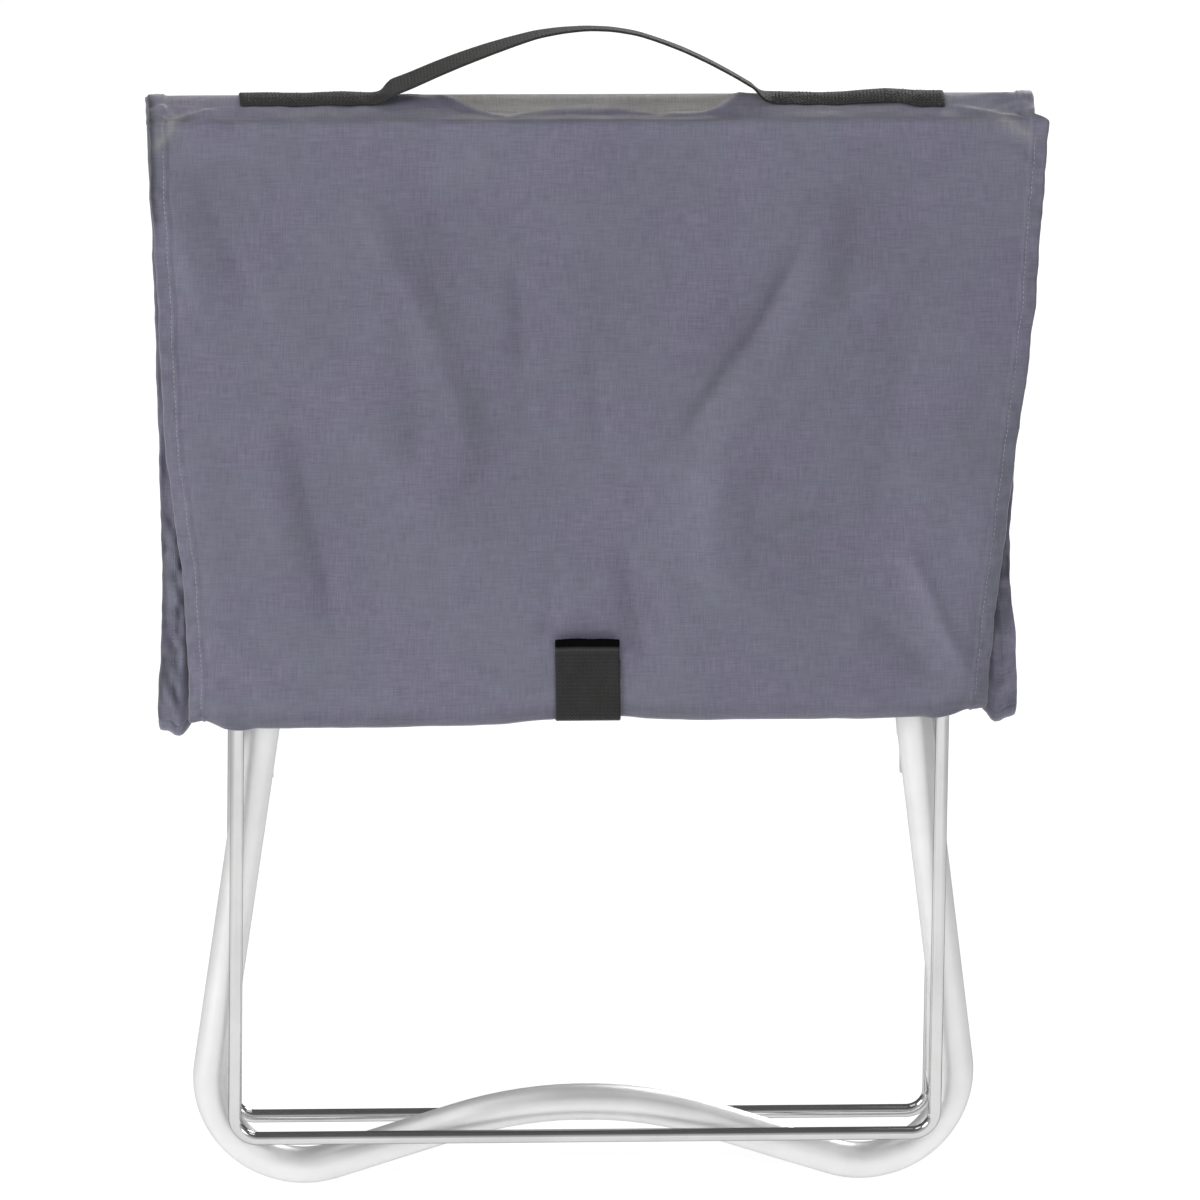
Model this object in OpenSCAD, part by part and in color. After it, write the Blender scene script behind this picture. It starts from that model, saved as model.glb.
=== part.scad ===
// Folding camp chair, stored upright in its own cover.
// X is the width, Z is up, Y is the depth. The rear of the backrest faces -Y
// and the sitter's side faces +Y. The origin is the bottom centre of the
// folded chair, so the frame's two base lobes touch z = 0.

/* [Back frame] */
// Outside diameter of the large frame tube
tube_d = 22; // [20:0.5:24]
// Wall of the large frame tube
tube_wall = 1.5; // [1:0.1:2]
// Depth position of the large frame tube
tube_y = -2.25; // [-2.45:0.05:-2.05]
// Height of the frame's top bar centreline
top_z = 668; // [660:1:676]
// Half width to the corners of the frame's top bar
top_half_w = 248; // [244:1:250]
// Bend radius at the top corners
top_bend_r = 40; // [36:1:46]
// Bend radius of the base lobes
lobe_bend_r = 57; // [54:0.5:60]
// Bend radius of the raised middle of the base
crest_bend_r = 250; // [200:10:260]
// Length of the splice tube hidden in the top bar
splice_len = 90; // [60:5:120]

/* [Wires] */
// Diameter of the chromed prop and leg wire
wire_d = 8; // [7.9:0.1:8]
// Half distance between the wire rails
wire_half_w = 212; // [212:0.5:214]
// Height of both foot bars above the base
foot_bar_z = 34.5; // [33:0.5:36]
// Bend radius at the foot corners
foot_bend_r = 14; // [12:0.5:18]
// Depth position of the rear prop wire
prop_y = -20.75; // [-20.95:0.05:-20.65]
// Half width of the prop wire at its top bar
prop_top_half_w = 256; // [252:1:258]

/* [Seat frame] */
// Outside diameter of the seat tube
seat_tube_d = 14; // [13.8:0.1:14]
// Wall of the seat tube
seat_tube_wall = 1.2; // [1:0.1:1.5]
// Depth position of the seat tube and the front leg wire
seat_y = 20.75; // [20.75:0.05:21.15]
// Half distance between the seat tube's rails at the pivots
seat_half_w = 197.8; // [197.6:0.1:197.9]
// Height of the seat pivot
pivot_z = 280; // [279:0.5:281]
// Height of the front leg pivot
leg_pivot_z = 380; // [370:1:390]
// Height of the seat's front bar
seat_front_z = 650; // [645:1:652]
// Half width to the corners of the seat's front bar
seat_front_half_w = 246; // [240:1:248]
// Diameter of the seat pivot rivets
rivet_d = 6; // [5:0.5:6]
// Radial running clearance of the pivots
play = 0.05; // [0.03:0.01:0.08]

/* [Cover and sling] */
// Thickness of the cloth
cloth = 0.8; // [0.6:0.1:0.8]
// Half width of the rear cover at its top edge
flap_top_half_w = 268; // [262:1:270]
// Half width of the rear cover at its bottom edge
flap_bottom_half_w = 239; // [230:1:244]
// Height of the rear cover's bottom edge
flap_bottom_z = 298; // [298:0.5:304]
// Half width of the sling at its lower end
sling_low_half_w = 256; // [250:1:258]
// Half width of the sling at its upper end
sling_top_half_w = 264; // [260:1:266]

/* [Webbing] */
// Width of the carry handle's webbing
handle_w = 25; // [20:1:26]
// Half width of the handle's arch
handle_arch_half = 110; // [100:1:120]
// Half width to the outer ends of the handle
handle_end_half = 212; // [200:1:220]
// Rise of the handle's arch
handle_rise = 42.5; // [35:0.5:45]
// Width of the closing tab
tab_w = 40; // [36:1:44]
// Height of the closing tab's upper end
tab_top_z = 347; // [340:1:352]

/* [Hidden] */
$fn = 64;

tube_r = tube_d / 2;
wire_r = wire_d / 2;
seat_r = seat_tube_d / 2;
// side rails of the back frame lean inwards as they rise
lean = 7.6;
rail_foot_x = 235.3;
function rail_x(z) = rail_foot_x - tan(lean) * z;
waist_z = 312;
// slope of the base between a lobe and the raised middle
crest_slope = 18;
crest_z = 62.9;
lobe_x = (rail_foot_x - tan(lean) * crest_z) / (1 - tan(lean) * tan(crest_slope));
lobe_z = crest_z - tan(crest_slope) * lobe_x;
clip_x = 150;
clip_w = 24;
clip_tube_r = tube_r + 1;
clip_wire_r = wire_r + 1;
sleeve_r = tube_r + 1.2;
flap_r = wire_r + 1.3;
seat_sleeve_r = seat_r + 0.4;
sling_z = 305;
back_y = tube_y + sleeve_r;
seat_cloth_y = seat_y - seat_sleeve_r - cloth;
lug_t = 1.5;
lug_gap = seat_r + 0.3;
aluminium = [0.86, 0.87, 0.88];
chrome = [0.75, 0.76, 0.78];
steel = [0.62, 0.63, 0.65];
cloth_col = [0.44, 0.435, 0.50];
webbing_col = [0.13, 0.13, 0.12];
plastic_col = [0.12, 0.12, 0.13];

// a bend is this share fatter than the straight runs, as a real bent tube is
swell = 0.0125;
// how far a straight run reaches into the bend at its end
reach = 0.3;

// ---- bent tube along corner points in the XZ plane ----
function unit(v) = v / norm(v);
function cross2(a, b) = a[0] * b[1] - a[1] * b[0];
function turn_of(a, b, c) = acos(max(-1, min(1, unit(b - a) * unit(c - b))));
function side_of(a, b, c) = cross2(unit(b - a), unit(c - b)) >= 0 ? 1 : -1;
function setback(a, b, c, r) = r * tan(turn_of(a, b, c) / 2);

module ring2d(ro, ri) {
    difference() {
        circle(r = ro);
        circle(r = ri);
    }
}

module run(a, b, ro) {
    d = b - a;
    translate([a[0], a[1], 0]) rotate([0, 0, atan2(d[1], d[0])]) rotate([0, 90, 0])
        cylinder(h = norm(d), r = ro);
}

module bend(a, b, c, r, ro) {
    u = unit(b - a);
    w = unit(c - b);
    s = side_of(a, b, c);
    t = setback(a, b, c, r);
    p = b - u * t;
    q = b + w * t;
    o = p + [-u[1], u[0]] * s * r;
    f = s > 0 ? p - o : q - o;
    translate([o[0], o[1], 0]) rotate([0, 0, atan2(f[1], f[0])])
        rotate_extrude(angle = turn_of(a, b, c)) translate([r, 0]) circle(r = ro * (1 + swell));
}

// pts are corner points, rad their bend radii; the ends take no bend
module bent(pts, rad, ro, y) {
    n = len(pts);
    translate([0, y, 0]) rotate([90, 0, 0]) union() {
        for (i = [1:n - 2])
            bend(pts[i - 1], pts[i], pts[i + 1], rad[i], ro);
        for (i = [0:n - 2]) {
            b = pts[i];
            c = pts[i + 1];
            sb = i > 0 ? setback(pts[i - 1], b, c, rad[i]) : 0;
            eb = i < n - 2 ? setback(b, c, pts[i + 2], rad[i + 1]) : 0;
            // a run reaches a little way into the bends at its ends
            run(b + unit(c - b) * (sb - (i > 0 ? reach : 0)),
                c - unit(c - b) * (eb - (i < n - 2 ? reach : 0)), ro);
        }
    }
}

module along_x(y, z, r, x0, x1) {
    translate([x0, y, z]) rotate([0, 90, 0]) cylinder(h = x1 - x0, r = r);
}

// extrude a profile drawn in (Y, Z) along X
module profile_x(x0, x1) {
    translate([x0, 0, 0]) rotate([90, 0, 90]) linear_extrude(x1 - x0) children();
}

module two_sides() {
    children();
    mirror([1, 0, 0]) children();
}

// ---- back frame ----
frame_pts = [[-0.2, top_z], [-top_half_w, top_z], [-rail_x(waist_z), waist_z],
             [-lobe_x, lobe_z], [0, crest_z], [lobe_x, lobe_z],
             [rail_x(waist_z), waist_z], [top_half_w, top_z], [0.2, top_z]];
frame_rad = [0, top_bend_r, 80, lobe_bend_r, crest_bend_r, lobe_bend_r, 80, top_bend_r, 0];

module back_frame_tube() {
    color(aluminium) difference() {
        bent(frame_pts, frame_rad, tube_r, tube_y);
        bent(frame_pts, frame_rad, tube_r - tube_wall, tube_y);
        // rivet holes of the clips, the splice and the seat brackets
        two_sides() {
            translate([clip_x, tube_y, top_z - tube_r - 2]) cylinder(h = 6, r = 2.02, $fn = 32);
            translate([30, tube_y, top_z - tube_r - 2]) cylinder(h = 6, r = 2.02, $fn = 32);
            translate([rail_x(pivot_z - 17), tube_y + 4, pivot_z - 17]) rotate([-90, 0, 0])
                cylinder(h = 10, r = 2.02, $fn = 32);
        }
    }
}

module frame_splice() {
    color(aluminium) difference() {
        along_x(tube_y, top_z, tube_r - tube_wall - 0.05, -splice_len / 2, splice_len / 2);
        along_x(tube_y, top_z, tube_r - 2 * tube_wall - 0.05, -splice_len / 2 - 1, splice_len / 2 + 1);
        two_sides() translate([30, tube_y, top_z - tube_r - 2]) cylinder(h = 8, r = 2.02, $fn = 32);
    }
}

module blind_rivet(h) {
    cylinder(h = h, r = 2, $fn = 32);
    translate([0, 0, -0.6]) cylinder(h = 0.6, r1 = 2.3, r2 = 2.9, $fn = 32);
}

module splice_rivets() {
    color(aluminium) two_sides()
        translate([30, tube_y, top_z - tube_r - 0.02]) blind_rivet(4.2);
}

// strap clip: grips the frame's top bar and lets the prop wire turn
module prop_clip(x) {
    color(plastic_col) difference() {
        profile_x(x - clip_w / 2, x + clip_w / 2) difference() {
            union() {
                translate([tube_y, top_z]) circle(r = clip_tube_r);
                translate([prop_y, top_z]) circle(r = clip_wire_r);
                translate([prop_y, top_z - 3]) square([tube_y - prop_y, 6]);
            }
            translate([tube_y, top_z]) circle(r = tube_r + 0.03);
            translate([prop_y, top_z]) circle(r = wire_r + play);
        }
        translate([x, tube_y, top_z - tube_r - 3]) cylinder(h = 6, r = 2.02, $fn = 32);
    }
}
module prop_clip_left() { prop_clip(-clip_x); }
module prop_clip_right() { prop_clip(clip_x); }

module prop_clip_rivets() {
    color(aluminium) two_sides()
        translate([clip_x, tube_y, top_z - clip_tube_r - 0.02]) blind_rivet(4.2);
}

// clevis bracket that carries the seat pivot on the far side of a rail
module seat_bracket() {
    color(steel) difference() {
        union() {
            // saddle plate
            translate([seat_half_w - lug_gap - lug_t, tube_y + 5, pivot_z - 24])
                cube([2 * (lug_gap + lug_t), tube_r - 3.4, 31.5]);
            // two lugs
            for (x = [seat_half_w - lug_gap - lug_t, seat_half_w + lug_gap])
                profile_x(x, x + lug_t) union() {
                    translate([seat_y, pivot_z]) circle(r = 7.5);
                    translate([tube_y + 5, pivot_z - 7.5]) square([seat_y - tube_y - 5, 15]);
                }
        }
        // seat of the leaning rail
        translate([rail_x(pivot_z), tube_y, pivot_z]) rotate([0, -lean, 0])
            translate([0, 0, -60]) cylinder(h = 120, r = tube_r + 0.03);
        // pivot hole
        along_x(seat_y, pivot_z, rivet_d / 2 + 0.01, 170, 220);
        // fixing hole
        translate([rail_x(pivot_z - 17), tube_y + 4, pivot_z - 17]) rotate([-90, 0, 0])
            cylinder(h = 12, r = 2.02, $fn = 32);
    }
}
module seat_bracket_right() { seat_bracket(); }
module seat_bracket_left() { mirror([1, 0, 0]) seat_bracket(); }

module seat_bracket_rivets() {
    color(aluminium) two_sides()
        translate([rail_x(pivot_z - 17), tube_y + tube_r + 1.62, pivot_z - 17]) rotate([90, 0, 0])
            blind_rivet(4.8);
}

// ---- rear prop ----
prop_pts = [[-0.2, top_z], [-prop_top_half_w, top_z], [-wire_half_w, 300],
            [-wire_half_w, foot_bar_z], [wire_half_w, foot_bar_z], [wire_half_w, 300],
            [prop_top_half_w, top_z], [0.2, top_z]];
prop_rad = [0, 13, 60, foot_bend_r, foot_bend_r, 60, 13, 0];

module rear_prop_wire() {
    color(chrome) bent(prop_pts, prop_rad, wire_r, prop_y);
}

// sleeve that joins the two ends of the prop wire
module prop_wire_ferrule() {
    color(chrome) difference() {
        along_x(prop_y, top_z, wire_r + 1, -16, 16);
        along_x(prop_y, top_z, wire_r + 0.02, -20, 20);
    }
}

// ---- seat frame ----
seat_pts = [[-seat_half_w, pivot_z - 6], [-seat_half_w, leg_pivot_z + 30],
            [-seat_front_half_w, seat_front_z], [seat_front_half_w, seat_front_z],
            [seat_half_w, leg_pivot_z + 30], [seat_half_w, pivot_z - 6]];
seat_rad = [0, 80, 40, 40, 80, 0];

module seat_frame_tube() {
    color(aluminium) difference() {
        bent(seat_pts, seat_rad, seat_r, seat_y);
        bent(seat_pts, seat_rad, seat_r - seat_tube_wall, seat_y);
        two_sides() {
            along_x(seat_y, pivot_z, rivet_d / 2 + play, seat_half_w - 15, seat_half_w + 15);
            along_x(seat_y, leg_pivot_z, wire_r + play, seat_half_w - 15, seat_half_w + 15);
        }
    }
}

// plugs keep the tube ends from crushing at the pivot
module seat_tube_plugs() {
    color(plastic_col) two_sides() difference() {
        translate([seat_half_w, seat_y, pivot_z - 6])
            cylinder(h = 16, r = seat_r - seat_tube_wall - 0.05);
        along_x(seat_y, pivot_z, rivet_d / 2 + play, seat_half_w - 15, seat_half_w + 15);
    }
}

module seat_pivot_rivets() {
    color(chrome) two_sides() {
        along_x(seat_y, pivot_z, rivet_d / 2, seat_half_w - lug_gap - lug_t, seat_half_w + lug_gap + lug_t);
        along_x(seat_y, pivot_z, 5, seat_half_w - lug_gap - lug_t - 1, seat_half_w - lug_gap - lug_t);
        along_x(seat_y, pivot_z, 5, seat_half_w + lug_gap + lug_t, seat_half_w + lug_gap + lug_t + 1);
    }
}

// ---- front leg ----
leg_in = seat_half_w - seat_r - 3;
leg_pts = [[-leg_in, leg_pivot_z], [-wire_half_w, leg_pivot_z], [-wire_half_w, foot_bar_z],
           [wire_half_w, foot_bar_z], [wire_half_w, leg_pivot_z], [leg_in, leg_pivot_z]];
leg_rad = [0, 7, foot_bend_r, foot_bend_r, 7, 0];

module front_leg_wire() {
    color(chrome) bent(leg_pts, leg_rad, wire_r, seat_y);
}

// a saddle washer seated on the round seat tube; the leg's wire turns in it
module leg_pivot_washers() {
    color(plastic_col) two_sides() difference() {
        along_x(seat_y, leg_pivot_z, 6.5, seat_half_w + 2, seat_half_w + seat_r + 0.5);
        translate([seat_half_w, seat_y, leg_pivot_z - 10]) cylinder(h = 20, r = seat_r + 0.15);
        along_x(seat_y, leg_pivot_z, wire_r + 0.12, seat_half_w, seat_half_w + 15);
    }
}

module leg_pivot_caps() {
    color(plastic_col) two_sides() difference() {
        along_x(seat_y, leg_pivot_z, 6.5, leg_in - 1.5, seat_half_w - seat_r - 0.3);
        along_x(seat_y, leg_pivot_z, wire_r + 0.02, leg_in - 0.02, seat_half_w);
    }
}

// ---- cover and sling ----
module top_sleeve() {
    color(cloth_col) difference() {
        union() {
            // full sleeve on the straight bar
            profile_x(-200, 200) translate([tube_y, top_z]) ring2d(sleeve_r + cloth, sleeve_r);
            // open cap past the rounded corners
            for (s = [-1, 1])
                profile_x(s > 0 ? 200 : -sling_top_half_w, s > 0 ? sling_top_half_w : -200)
                    intersection() {
                        translate([tube_y, top_z]) ring2d(sleeve_r + cloth, sleeve_r);
                        translate([tube_y - 30, top_z]) square([60, 30]);
                    }
            // tail that the back cloth is sewn to
            profile_x(-sling_top_half_w, sling_top_half_w)
                translate([back_y, top_z - 18]) square([cloth, 18]);
        }
        // windows for the two clips and their rivets
        for (s = [-1, 1])
            translate([s * clip_x - clip_w / 2 - 1, tube_y - 20, top_z - 16])
                cube([clip_w + 2, 25, 20]);
    }
}

// cloth from the top bar to the prop wire
module top_panel() {
    dy = tube_y - prop_y;
    al = asin((sleeve_r + cloth - flap_r - cloth) / dy);
    nrm = [-sin(al), cos(al)];
    p = [tube_y, top_z] + nrm * (sleeve_r + cloth);
    q = [prop_y, top_z] + nrm * (flap_r + cloth);
    e = q + (p - q) * 0.27;
    color(cloth_col)
        profile_x(-flap_top_half_w + 1, flap_top_half_w - 1) difference() {
            polygon([p, e, e - nrm * cloth, p - nrm * cloth]);
            translate([tube_y, top_z]) circle(r = sleeve_r + cloth + 0.03);
        }
}

module back_fabric() {
    color(cloth_col) translate([0, back_y + cloth, 0]) rotate([90, 0, 0]) linear_extrude(cloth)
        polygon([[-sling_low_half_w, sling_z], [sling_low_half_w, sling_z],
                 [sling_top_half_w, top_z - 18], [-sling_top_half_w, top_z - 18]]);
}

// loop of cloth that joins the back to the seat
module sling_fold() {
    w = (seat_cloth_y + cloth - back_y) / 2;
    zc = sling_z - 6.7;
    color(cloth_col) profile_x(-sling_low_half_w, sling_low_half_w) union() {
        translate([back_y, zc]) square([cloth, 6.4]);
        translate([seat_cloth_y, zc]) square([cloth, 6.4]);
        difference() {
            translate([back_y + w, zc]) circle(r = w);
            translate([back_y + w, zc]) circle(r = w - cloth);
            translate([back_y - 1, zc]) square([2 * w + 2, 5]);
        }
    }
}

module seat_fabric() {
    color(cloth_col) translate([0, seat_cloth_y + cloth, 0]) rotate([90, 0, 0]) linear_extrude(cloth)
        polygon([[-sling_low_half_w, sling_z], [sling_low_half_w, sling_z],
                 [sling_top_half_w - 2, seat_front_z - 14], [-sling_top_half_w + 2, seat_front_z - 14]]);
}

module seat_front_sleeve() {
    color(cloth_col) union() {
        profile_x(-200, 200) translate([seat_y, seat_front_z]) ring2d(seat_sleeve_r + cloth, seat_sleeve_r);
        for (s = [-1, 1])
            profile_x(s > 0 ? 200 : -sling_top_half_w + 2, s > 0 ? sling_top_half_w - 2 : -200)
                intersection() {
                    translate([seat_y, seat_front_z]) ring2d(seat_sleeve_r + cloth, seat_sleeve_r);
                    translate([seat_y - 20, seat_front_z]) square([40, 20]);
                }
        profile_x(-sling_top_half_w + 2, sling_top_half_w - 2)
            translate([seat_cloth_y, seat_front_z - 14]) square([cloth, 14]);
    }
}

// rear cover: folds over the prop wire and hangs down behind the frame
module cover_flap() {
    color(cloth_col) union() {
        profile_x(-flap_top_half_w, flap_top_half_w) intersection() {
            translate([prop_y, top_z]) ring2d(flap_r + cloth, flap_r);
            translate([prop_y - 20, top_z]) square([20, 20]);
        }
        translate([0, prop_y - flap_r, 0]) rotate([90, 0, 0]) linear_extrude(cloth)
            polygon([[-flap_bottom_half_w, flap_bottom_z], [flap_bottom_half_w, flap_bottom_z],
                     [flap_top_half_w, top_z], [-flap_top_half_w, top_z]]);
    }
}

// ---- webbing ----
handle_t = 1.4;
handle_y = -7.25;
handle_z = top_z + sleeve_r + cloth + 0.1;
function arch(x) = handle_rise * (0.5 + 0.5 * cos(180 * x / handle_arch_half));
arch_x = [for (i = [-16:16]) i * handle_arch_half / 16];

module carry_handle() {
    under = [for (x = arch_x) [x, handle_z + arch(x)]];
    over = [for (i = [32:-1:0]) [arch_x[i], handle_z + arch(arch_x[i]) + handle_t]];
    color(webbing_col) translate([0, handle_y + handle_w / 2, 0]) rotate([90, 0, 0])
        linear_extrude(handle_w)
            polygon(concat([[-handle_end_half, handle_z]], under, [[handle_end_half, handle_z],
                           [handle_end_half, handle_z + handle_t]], over,
                           [[-handle_end_half, handle_z + handle_t]]));
}

tab_t = 1.2;
hook_t = 0.7;
flap_face_y = prop_y - flap_r - cloth;
tab_y = flap_face_y - hook_t - 0.1;

module closure_tab() {
    color(webbing_col) profile_x(-tab_w / 2, tab_w / 2) union() {
        translate([tab_y - tab_t, flap_bottom_z - 3.4]) square([tab_t, tab_top_z - flap_bottom_z + 3.4]);
        translate([tab_y - tab_t, flap_bottom_z - 3.4]) square([seat_cloth_y + cloth - 0.1 - tab_y + tab_t, tab_t]);
    }
}

module closure_hook_patch() {
    color(webbing_col) translate([-tab_w / 2 + 3, flap_face_y - hook_t, flap_bottom_z + 10])
        cube([tab_w - 6, hook_t, 30]);
}

module closure_strap() {
    color(webbing_col) profile_x(-tab_w / 2, tab_w / 2)
        translate([seat_cloth_y + cloth + 0.1, flap_bottom_z - 3.4]) square([tab_t, 48]);
}

back_frame_tube();
frame_splice();
splice_rivets();
prop_clip_left();
prop_clip_right();
prop_clip_rivets();
seat_bracket_left();
seat_bracket_right();
seat_bracket_rivets();
rear_prop_wire();
prop_wire_ferrule();
seat_frame_tube();
seat_tube_plugs();
seat_pivot_rivets();
front_leg_wire();
leg_pivot_washers();
leg_pivot_caps();
top_sleeve();
top_panel();
back_fabric();
sling_fold();
seat_fabric();
seat_front_sleeve();
cover_flap();
carry_handle();
closure_tab();
closure_hook_patch();
closure_strap();
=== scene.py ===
import math
import bpy
import numpy as np
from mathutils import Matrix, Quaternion, Vector


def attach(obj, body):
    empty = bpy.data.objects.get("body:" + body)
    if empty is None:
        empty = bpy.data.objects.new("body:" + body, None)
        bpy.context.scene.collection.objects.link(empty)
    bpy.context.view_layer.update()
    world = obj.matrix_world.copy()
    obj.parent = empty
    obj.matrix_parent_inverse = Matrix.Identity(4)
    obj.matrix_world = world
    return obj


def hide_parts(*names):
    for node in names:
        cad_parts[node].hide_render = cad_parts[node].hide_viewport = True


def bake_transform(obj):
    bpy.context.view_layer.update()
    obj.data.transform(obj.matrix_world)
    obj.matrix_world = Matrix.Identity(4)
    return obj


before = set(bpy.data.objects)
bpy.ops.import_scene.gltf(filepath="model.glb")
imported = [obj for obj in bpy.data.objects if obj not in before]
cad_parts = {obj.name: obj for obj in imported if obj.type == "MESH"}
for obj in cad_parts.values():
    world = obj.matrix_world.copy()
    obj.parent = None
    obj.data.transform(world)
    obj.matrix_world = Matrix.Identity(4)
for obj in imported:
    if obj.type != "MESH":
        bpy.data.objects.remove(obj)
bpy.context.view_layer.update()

MM = 0.001


# ------------------------------------------------------------------ numbers
def smooth(t):
    t = np.clip(t, 0.0, 1.0)
    return t * t * (3.0 - 2.0 * t)


def _hash(a, b, seed):
    n = (a.astype(np.int64) * 73856093) ^ (b.astype(np.int64) * 19349663) ^ (seed * 83492791 + 7919)
    n = (n ^ (n >> 13)) * 1274126177
    n = (n ^ (n >> 16)) & 0xFFFF
    return n / 65536.0


def noise2(x, y, seed=0):
    """Smooth gradient noise, about -1 to 1."""
    x, y = np.broadcast_arrays(np.asarray(x, float), np.asarray(y, float))
    xi, yi = np.floor(x), np.floor(y)
    fx, fy = x - xi, y - yi

    def corner(dx, dy):
        a = 2.0 * np.pi * _hash(xi + dx, yi + dy, seed)
        return np.cos(a) * (fx - dx) + np.sin(a) * (fy - dy)

    u = fx ** 3 * (fx * (fx * 6 - 15) + 10)
    v = fy ** 3 * (fy * (fy * 6 - 15) + 10)
    low = corner(0, 0) * (1 - u) + corner(1, 0) * u
    high = corner(0, 1) * (1 - u) + corner(1, 1) * u
    return 1.4 * (low * (1 - v) + high * v)


def track(points, soft=14.0):
    """A smoothed line through (position, value) points."""
    p = np.array(sorted(points), float)
    t = np.linspace(p[0, 0] - 60, p[-1, 0] + 60, 700)
    v = np.interp(t, p[:, 0], p[:, 1])
    k = np.exp(-0.5 * (np.arange(-200, 201) * (t[1] - t[0]) / soft) ** 2)
    v = np.convolve(np.pad(v, 200, mode="edge"), k / k.sum(), mode="valid")
    return lambda q: np.interp(q, t, v)


def rounded(points, n=7):
    """Catmull-Rom points through a polyline."""
    p = np.array(points, float)
    p = np.vstack([2 * p[0] - p[1], p, 2 * p[-1] - p[-2]])
    out = []
    for i in range(1, len(p) - 2):
        for t in np.linspace(0, 1, n, endpoint=False):
            a, b, c, d = p[i - 1:i + 3]
            out.append(0.5 * (2 * b + (c - a) * t + (2 * a - 5 * b + 4 * c - d) * t ** 2
                              + (3 * b - a - 3 * c + d) * t ** 3))
    out.append(p[-2])
    return np.array(out)


def fold(x, z, pts, amp, left, right, fade=0.3):
    """A soft fold of the cloth along pts. It stands proud by amp; left and right are its widths on each hand of the way."""
    p = rounded(pts) if len(pts) > 2 else np.array(pts, float)
    seg = p[1:] - p[:-1]
    length = np.hypot(seg[:, 0], seg[:, 1])
    cum = np.r_[0, np.cumsum(length)]
    best = np.full(np.shape(x), 1e9)
    along = np.zeros(np.shape(x))
    side = np.zeros(np.shape(x))
    for i in range(len(seg)):
        s, l = seg[i], length[i]
        t = np.clip(((x - p[i, 0]) * s[0] + (z - p[i, 1]) * s[1]) / l ** 2, 0, 1)
        dx, dz = x - p[i, 0] - t * s[0], z - p[i, 1] - t * s[1]
        d = np.hypot(dx, dz)
        near = d < best
        best = np.where(near, d, best)
        along = np.where(near, (cum[i] + t * l) / cum[-1], along)
        side = np.where(near, (s[0] * dz - s[1] * dx) / l, side)
    # the change of width between the two hands is itself soft
    w = right + (left - right) * smooth(side / (0.5 * (left + right)) + 0.5)
    return amp * smooth(along / fade + 0.02) * smooth((1 - along) / fade + 0.02) / (1 + (best / w) ** 2) ** 1.6


def cumlen(points):
    return np.r_[0, np.cumsum(np.linalg.norm(np.diff(points, axis=0), axis=1))]


# ------------------------------------------------------------------ meshes
def build(name, verts, faces, uv, material, floats=None, smooth_faces=True):
    """verts in mm. uv is one pair per vertex, in metres along the surface."""
    me = bpy.data.meshes.new(name)
    me.from_pydata((np.asarray(verts) * MM).tolist(), [], [list(map(int, f)) for f in faces])
    me.validate()
    layer = me.uv_layers.new(name="UVMap")
    index = np.zeros(len(me.loops), np.int32)
    me.loops.foreach_get("vertex_index", index)
    layer.data.foreach_set("uv", np.asarray(uv, np.float32)[index].ravel())
    for key, values in (floats or {}).items():
        a = me.attributes.new(key, "FLOAT", "POINT")
        a.data.foreach_set("value", np.asarray(values, np.float32).ravel())
    me.polygons.foreach_set("use_smooth", [smooth_faces] * len(me.polygons))
    me.materials.append(material)
    me.update()
    o = bpy.data.objects.new(name, me)
    bpy.context.scene.collection.objects.link(o)
    return o


def shell(name, P, thick, material, uv, keep=None, tone=None, painted_sheen=None, bulge=1.0):
    """A closed sheet round the mid surface P (rows, columns, 3), with rounded raw edges. keep marks the quads that stay."""
    nv, nu = P.shape[:2]
    n = np.cross(np.gradient(P, axis=1), np.gradient(P, axis=0))
    n /= np.linalg.norm(n, axis=2, keepdims=True) + 1e-12
    half = np.broadcast_to(np.asarray(thick, float), (nv, nu)) / 2
    idx = np.arange(nv * nu).reshape(nv, nu)
    q = np.stack([idx[:-1, :-1], idx[:-1, 1:], idx[1:, 1:], idx[1:, :-1]], -1)
    q = (q[keep] if keep is not None else q).reshape(-1, 4)
    N = nv * nu
    a = np.concatenate([q[:, 0], q[:, 1], q[:, 2], q[:, 3]])
    b = np.concatenate([q[:, 1], q[:, 2], q[:, 3], q[:, 0]])
    rim = ~np.isin(b * N + a, a * N + b)
    ea, eb = a[rim], b[rim]
    flatP, flatn, flath = P.reshape(-1, 3), n.reshape(-1, 3), half.reshape(-1)
    e = flatP[eb] - flatP[ea]
    out = np.cross(e, 0.5 * (flatn[ea] + flatn[eb]))
    out /= np.linalg.norm(out, axis=1, keepdims=True) + 1e-12
    push = np.zeros((N, 3))
    np.add.at(push, ea, out)
    np.add.at(push, eb, out)
    push /= np.linalg.norm(push, axis=1, keepdims=True) + 1e-12
    top = flatP + flatn * flath[:, None]
    low = flatP - flatn * flath[:, None]
    mid = flatP + push * (flath * bulge)[:, None]
    faces = np.concatenate([
        q, q[:, ::-1] + N,
        np.stack([eb, ea, ea + 2 * N, eb + 2 * N], 1),
        np.stack([eb + 2 * N, ea + 2 * N, ea + N, eb + N], 1)])
    verts = np.concatenate([top, low, mid])
    uvs = np.tile(np.asarray(uv, float).reshape(-1, 2), (3, 1))
    # tone may carry painted shade and painted light besides random tone; the second attribute is a painted sheen
    tones = np.tile((np.ones(N) if tone is None else np.asarray(tone, float).reshape(-1)), 3)
    wear_and_sheen = np.tile((np.zeros(N) if painted_sheen is None else np.asarray(painted_sheen, float).reshape(-1)), 3)
    used = np.unique(faces)
    new = np.full(3 * N, -1)
    new[used] = np.arange(len(used))
    return build(name, verts[used], new[faces], uvs[used], material, {"tone": tones[used], "painted_sheen": wear_and_sheen[used]})


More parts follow.
